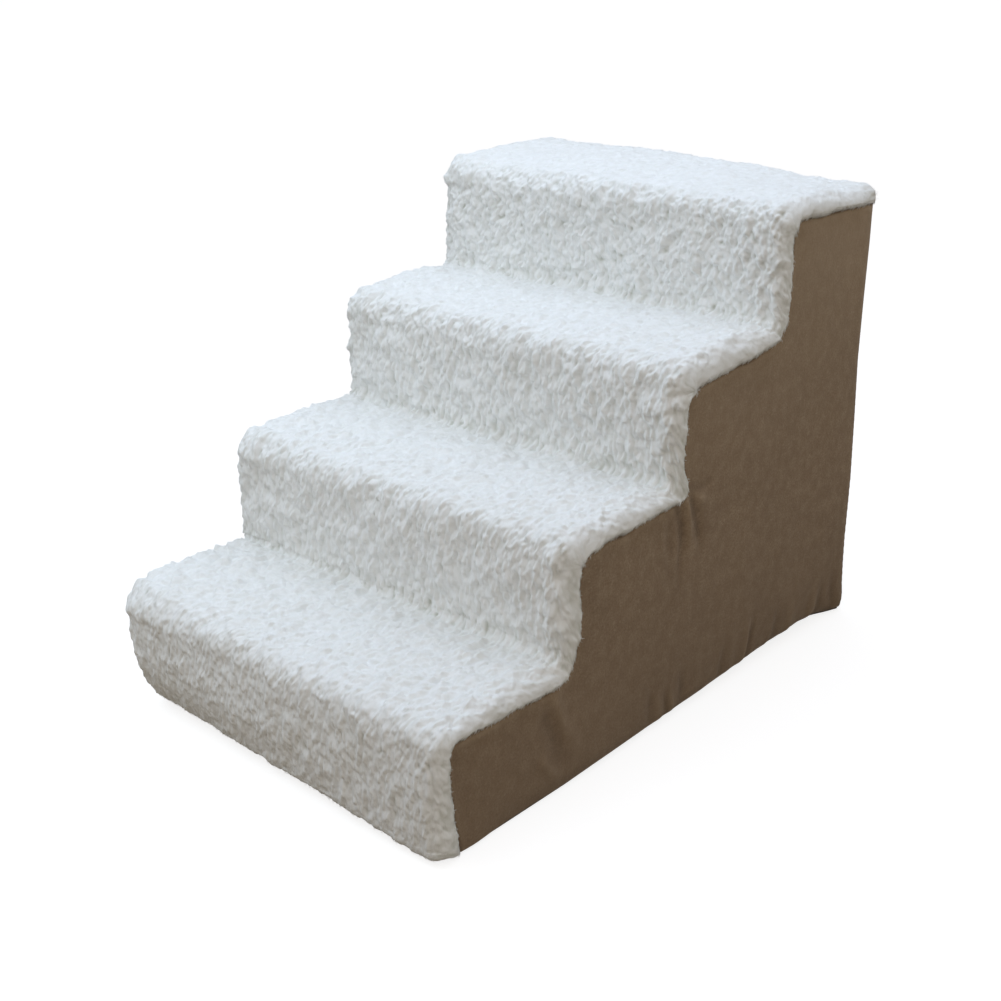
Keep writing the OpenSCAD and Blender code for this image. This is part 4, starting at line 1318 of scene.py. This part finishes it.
def tooth_row(side):
    """Moulded teeth with a narrow neck and a round head, on the bead along the tape's edge."""
    start = ZIP_END - HALF
    count = int(-2 * start // PITCH)
    plan = np.array([(-0.62, 3.2), (-0.62, 2.2), (-0.42, 1.3), (-0.36, 0.5), (-0.58, -0.5), (-0.52, -1.2),
                     (-0.25, -1.62), (0.25, -1.62), (0.52, -1.2), (0.58, -0.5), (0.36, 0.5), (0.42, 1.3),
                     (0.62, 2.2), (0.62, 3.2)])
    levels = [(-1.28, 0.72), (-0.95, 1.0), (0.95, 1.0), (1.28, 0.72)]
    centre = plan.mean(0)
    tooth = np.concatenate([np.stack([centre[0] + (plan[:, 0] - centre[0]) * s, np.full(len(plan), w),
                                      centre[1] + (plan[:, 1] - centre[1]) * (0.5 + 0.5 * s)], -1)
                            for w, s in levels])
    # the last two points of a tooth are the middles of its lower and upper end
    tooth = np.concatenate([tooth, [[0, levels[0][0], centre[1]], [0, levels[-1][0], centre[1]]]])
    at = start + 0.75 + (np.arange(count) + (0 if side > 0 else 0.5)) * PITCH - 0.15
    points = tooth[None] + np.stack([at, 0 * at, 0 * at], -1)[:, None]
    first = (np.arange(count) * len(tooth))[:, None]
    ids = first[..., None] + np.arange(len(tooth) - 2).reshape(len(levels), -1)
    after = np.roll(ids, -1, axis=-1)
    quad = tube_faces(ids)[0]
    caps = ((-2, after[:, 0], ids[:, 0]), (-1, ids[:, -1], after[:, -1]))
    tri = [np.stack(np.broadcast_arrays(first + len(tooth) + middle, a, b), -1).reshape(-1, 3)
           for middle, a, b in caps]
    # the bead: a rounded rib with a slight swell at each tooth
    x = np.linspace(start, -start, 481)
    turn = np.linspace(0, 2 * math.pi, 13)[:-1]
    swell = 1 + 0.1 * np.cos((x - at[0]) / PITCH * 2 * math.pi)
    bead = np.stack([np.broadcast_to(x[:, None], (len(x), 12)),
                     np.cos(turn)[None] * 1.05 * swell[:, None],
                     2.75 + np.sin(turn)[None] * 0.62 * swell[:, None]], -1)
    base = points.shape[0] * points.shape[1]
    hull, ends = tube_faces(base + np.arange(len(x) * 12).reshape(len(x), 12))
    points = np.concatenate([points.reshape(-1, 3), bead.reshape(-1, 3)])
    points = points * np.array([1, 1, side]) + np.array([0, ZIP_Y, ZIP_Z])
    faces = [np.concatenate([quad, hull]), np.concatenate([*tri, ends])]
    if side > 0:
        faces = [f[:, ::-1] for f in faces]
    return make("teeth_upper" if side > 0 else "teeth_lower", points, faces, PLASTIC)


def stitches(name, path, normal, pitch, length, radius):
    """Sewn stitches along a line: short raised threads that dip into the cloth at both ends."""
    at = np.arange(pitch, run_of(path)[-1] - pitch, pitch)
    shares = np.linspace(-0.5, 0.5, 7)
    turn = np.linspace(0, 2 * math.pi, 7)[:-1]
    mids = on_line(path, at[:, None] + shares * length)
    tangent = unit(on_line(path, at + 0.5) - on_line(path, at - 0.5))
    normal = np.broadcast_to(normal, tangent.shape)
    other = np.cross(tangent, normal)
    arch = np.sqrt(np.clip(1 - (shares * 2) ** 2, 0, 1))
    thick = radius * np.clip(arch * 1.6, 0.15, 1)
    centre = mids + normal[:, None] * (arch * radius * 1.1 - radius * 0.6)[None, :, None]
    points = centre[:, :, None] + thick[None, :, None, None] * (
        np.cos(turn)[None, None, :, None] * normal[:, None, None]
        + np.sin(turn)[None, None, :, None] * other[:, None, None])
    count, rings, around = points.shape[:3]
    faces = tube_faces(np.arange(count * rings * around).reshape(count, rings, around))
    return make(name, points.reshape(-1, 3), [f[:, ::-1] for f in faces], THREAD)


def soften(name, material, width):
    """Gives a rigid node rounded edges and its finish."""
    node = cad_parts[name]
    for place_in in node.material_slots:
        place_in.material = material
    if not node.material_slots:
        node.data.materials.append(material)
    bevel = node.modifiers.new("edges", "BEVEL")
    bevel.width = width * MM
    bevel.segments = 2
    bevel.limit_method = "ANGLE"
    bevel.angle_limit = math.radians(40)
    bevel.harden_normals = False


# building
pieces, parts, surface, normals, facts = fleece_pieces()
backing = fleece_backing(facts)
count = 9000
hairs = []
for i, (name, a, b) in enumerate(parts):
    hairs.append(fibres(name, surface[a:b + 1], normals[a:b + 1], facts.tread[a:b + 1], facts.edge,
                        count, 500 + i))
for piece in [*pieces, *hairs, backing]:
    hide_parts("fleece_runner")

for k in range(STEPS):
    foam_slab(k)

for side, node in ((1, "side_panel_right"), (-1, "side_panel_left")):
    cloth, area = side_cloth(side, 31 if side > 0 else 131)
    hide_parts(node)

stitch_rows = []
for side in (1, -1):
    x = np.linspace(-HALF + 14, HALF - 14, 240)
    z = np.full_like(x, ZIP_Z + side * STITCH_LINE)
    y = TAPE_FACE + CLOTH + 0.35 - corner_round(x, z)
    stitch_rows.append(stitches("stitches_upper" if side > 0 else "stitches_lower",
                                tuck(np.stack([x, y, z], -1)), np.array([0.0, 1.0, 0.0]),
                                pitch=3.4, length=2.6, radius=0.32))
for upper, thread in ((True, stitch_rows[0]), (False, stitch_rows[1])):
    cloth = back_cloth(upper)
    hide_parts("back_panel_upper" if upper else "back_panel_lower")

base = base_cloth()
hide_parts("base_panel")

for side, half in ((1, "upper"), (-1, "lower")):
    strip = tape(side)
    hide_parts(f"zip_tape_{half}")
    row = tooth_row(side)
    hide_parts(f"zip_teeth_{half}")

soften("zip_slider", METAL, 0.22)
soften("zip_pull", METAL, 0.25)
soften("zip_top_stops", PLASTIC, 0.18)
soften("zip_bottom_stop", PLASTIC, 0.18)


# camera
def photo_camera():
    """The photograph's viewpoint, found by fitting the stairs' corners to it."""
    turn, rise, roll = math.radians(43.426), math.radians(22.103), math.radians(-1.578)
    back = Vector((math.sin(turn) * math.cos(rise), -math.cos(turn) * math.cos(rise), math.sin(rise)))
    right = (-back).cross(Vector((0, 0, 1))).normalized()
    up = right.cross(-back)
    across = math.cos(roll) * right + math.sin(roll) * up
    above = -math.sin(roll) * right + math.cos(roll) * up
    data = bpy.data.cameras.new("photo camera")
    sensor, focal_pixels, frame_pixels = 36.0, 1550.9, 1001
    data.sensor_width = sensor
    data.lens = focal_pixels / frame_pixels * sensor
    camera = add_object("photo camera", data)
    turned = Matrix((across, above, back)).transposed().to_4x4()
    aim, distance = Vector((-4.65, 0, 163.51)), 1506.6
    where = (aim + back * distance) * MM
    camera.matrix_world = Matrix.Translation(where) @ turned
    bpy.context.scene.camera = camera


# floor and light
def seen_white(nodes, seen, other):
    """Mixes what the eye, gloss and glass see with what lights the object."""
    ray = nodes.add("LightPath").outputs
    total = ray["Is Camera Ray"]
    for key in ("Is Glossy Ray", "Is Transmission Ray"):
        total = nodes.sum(total, ray[key], "MAXIMUM")
    return nodes.add("MixShader", {0: total, 1: other, 2: seen}).outputs[0]


# the light from each side of the sky, and the lamps: name, place, width, and power of red, green
# and blue
SKY = (("Z", 1, (0.435, 0.447, 0.505)), ("X", -1, (0.15, 0.15, 0.15)), ("X", 1, (0.53, 0.49, 0.405)),
       ("Y", -1, (0.33, 0.28, 0.222)), ("Y", 1, (0.15, 0.15, 0.15)))
LAMPS = (("front lamp", (-0.56, -0.58, 0.95), 0.7, (2.87, 3.49, 4.02)),
         ("top lamp", (0.05, 0.25, 1.2), 0.8, (2.27, 2.75, 3.4)))


def sky_colour(nodes):
    """Adds up the sky's light, each side's strongest straight on and fading to its edge."""
    at = nodes.add("SeparateXYZ", {0: nodes.add("TexCoord").outputs["Generated"]}).outputs
    total = None
    for axis, sign, light in SKY:
        facing = nodes.add("Math", {0: at[axis], 1: sign}, operation="MULTIPLY", use_clamp=True)
        part = nodes.add("VectorMath", {0: light}, operation="SCALE")
        nodes.put(part.inputs["Scale"], facing.outputs[0])
        if total is not None:
            part = nodes.add("VectorMath", {0: total, 1: part.outputs[0]})
        total = part.outputs[0]
    return total


def studio():
    """A pale floor, soft light from all sides and two lamps."""
    scene = bpy.context.scene
    scene.view_settings.view_transform = "Standard"
    mesh = bpy.data.meshes.new("floor")
    reach = 9.0
    mesh.from_pydata([(-reach, -reach, 0), (reach, -reach, 0), (reach, reach, 0), (-reach, reach, 0)],
                     [], [(0, 1, 2, 3)])
    floor = add_object("floor", mesh)
    floor.location.z = -0.0004
    material = bpy.data.materials.new("pale floor")
    nodes = Nodes(material)
    nodes.tree.nodes.clear()
    glow = nodes.add("Emission", {"Strength": 0.8}).outputs[0]
    shade = nodes.add("BsdfDiffuse", {"Color": (0.4, 0.4, 0.4, 1)}).outputs[0]
    warm = nodes.add("BsdfDiffuse", {"Color": (0.25, 0.205, 0.15, 1)}).outputs[0]
    both = nodes.add("AddShader", {0: glow, 1: shade}).outputs[0]
    nodes.add("OutputMaterial", {"Surface": seen_white(nodes, both, warm)})
    mesh.materials.append(material)

    world = bpy.data.worlds.new("studio")
    scene.world = world
    nodes = Nodes(world)
    nodes.tree.nodes.clear()
    white = nodes.add("Background", {"Color": (1, 1, 1, 1), "Strength": 1.0}).outputs[0]
    sky = nodes.add("Background", {"Color": sky_colour(nodes)}).outputs[0]
    nodes.add("OutputWorld", {"Surface": seen_white(nodes, white, sky)})

    for name, at, wide, power in LAMPS:
        data = bpy.data.lights.new(name, "AREA")
        data.size = wide
        data.energy = max(power)
        data.color = [c / max(power) for c in power]
        lamp = add_object(name, data)
        lamp.location = at
        lamp.rotation_mode = "QUATERNION"
        lamp.rotation_quaternion = (Vector(at) - Vector((0, 0, 0.2))).to_track_quat("Z", "Y")
        lamp.visible_camera = False


photo_camera()
studio()
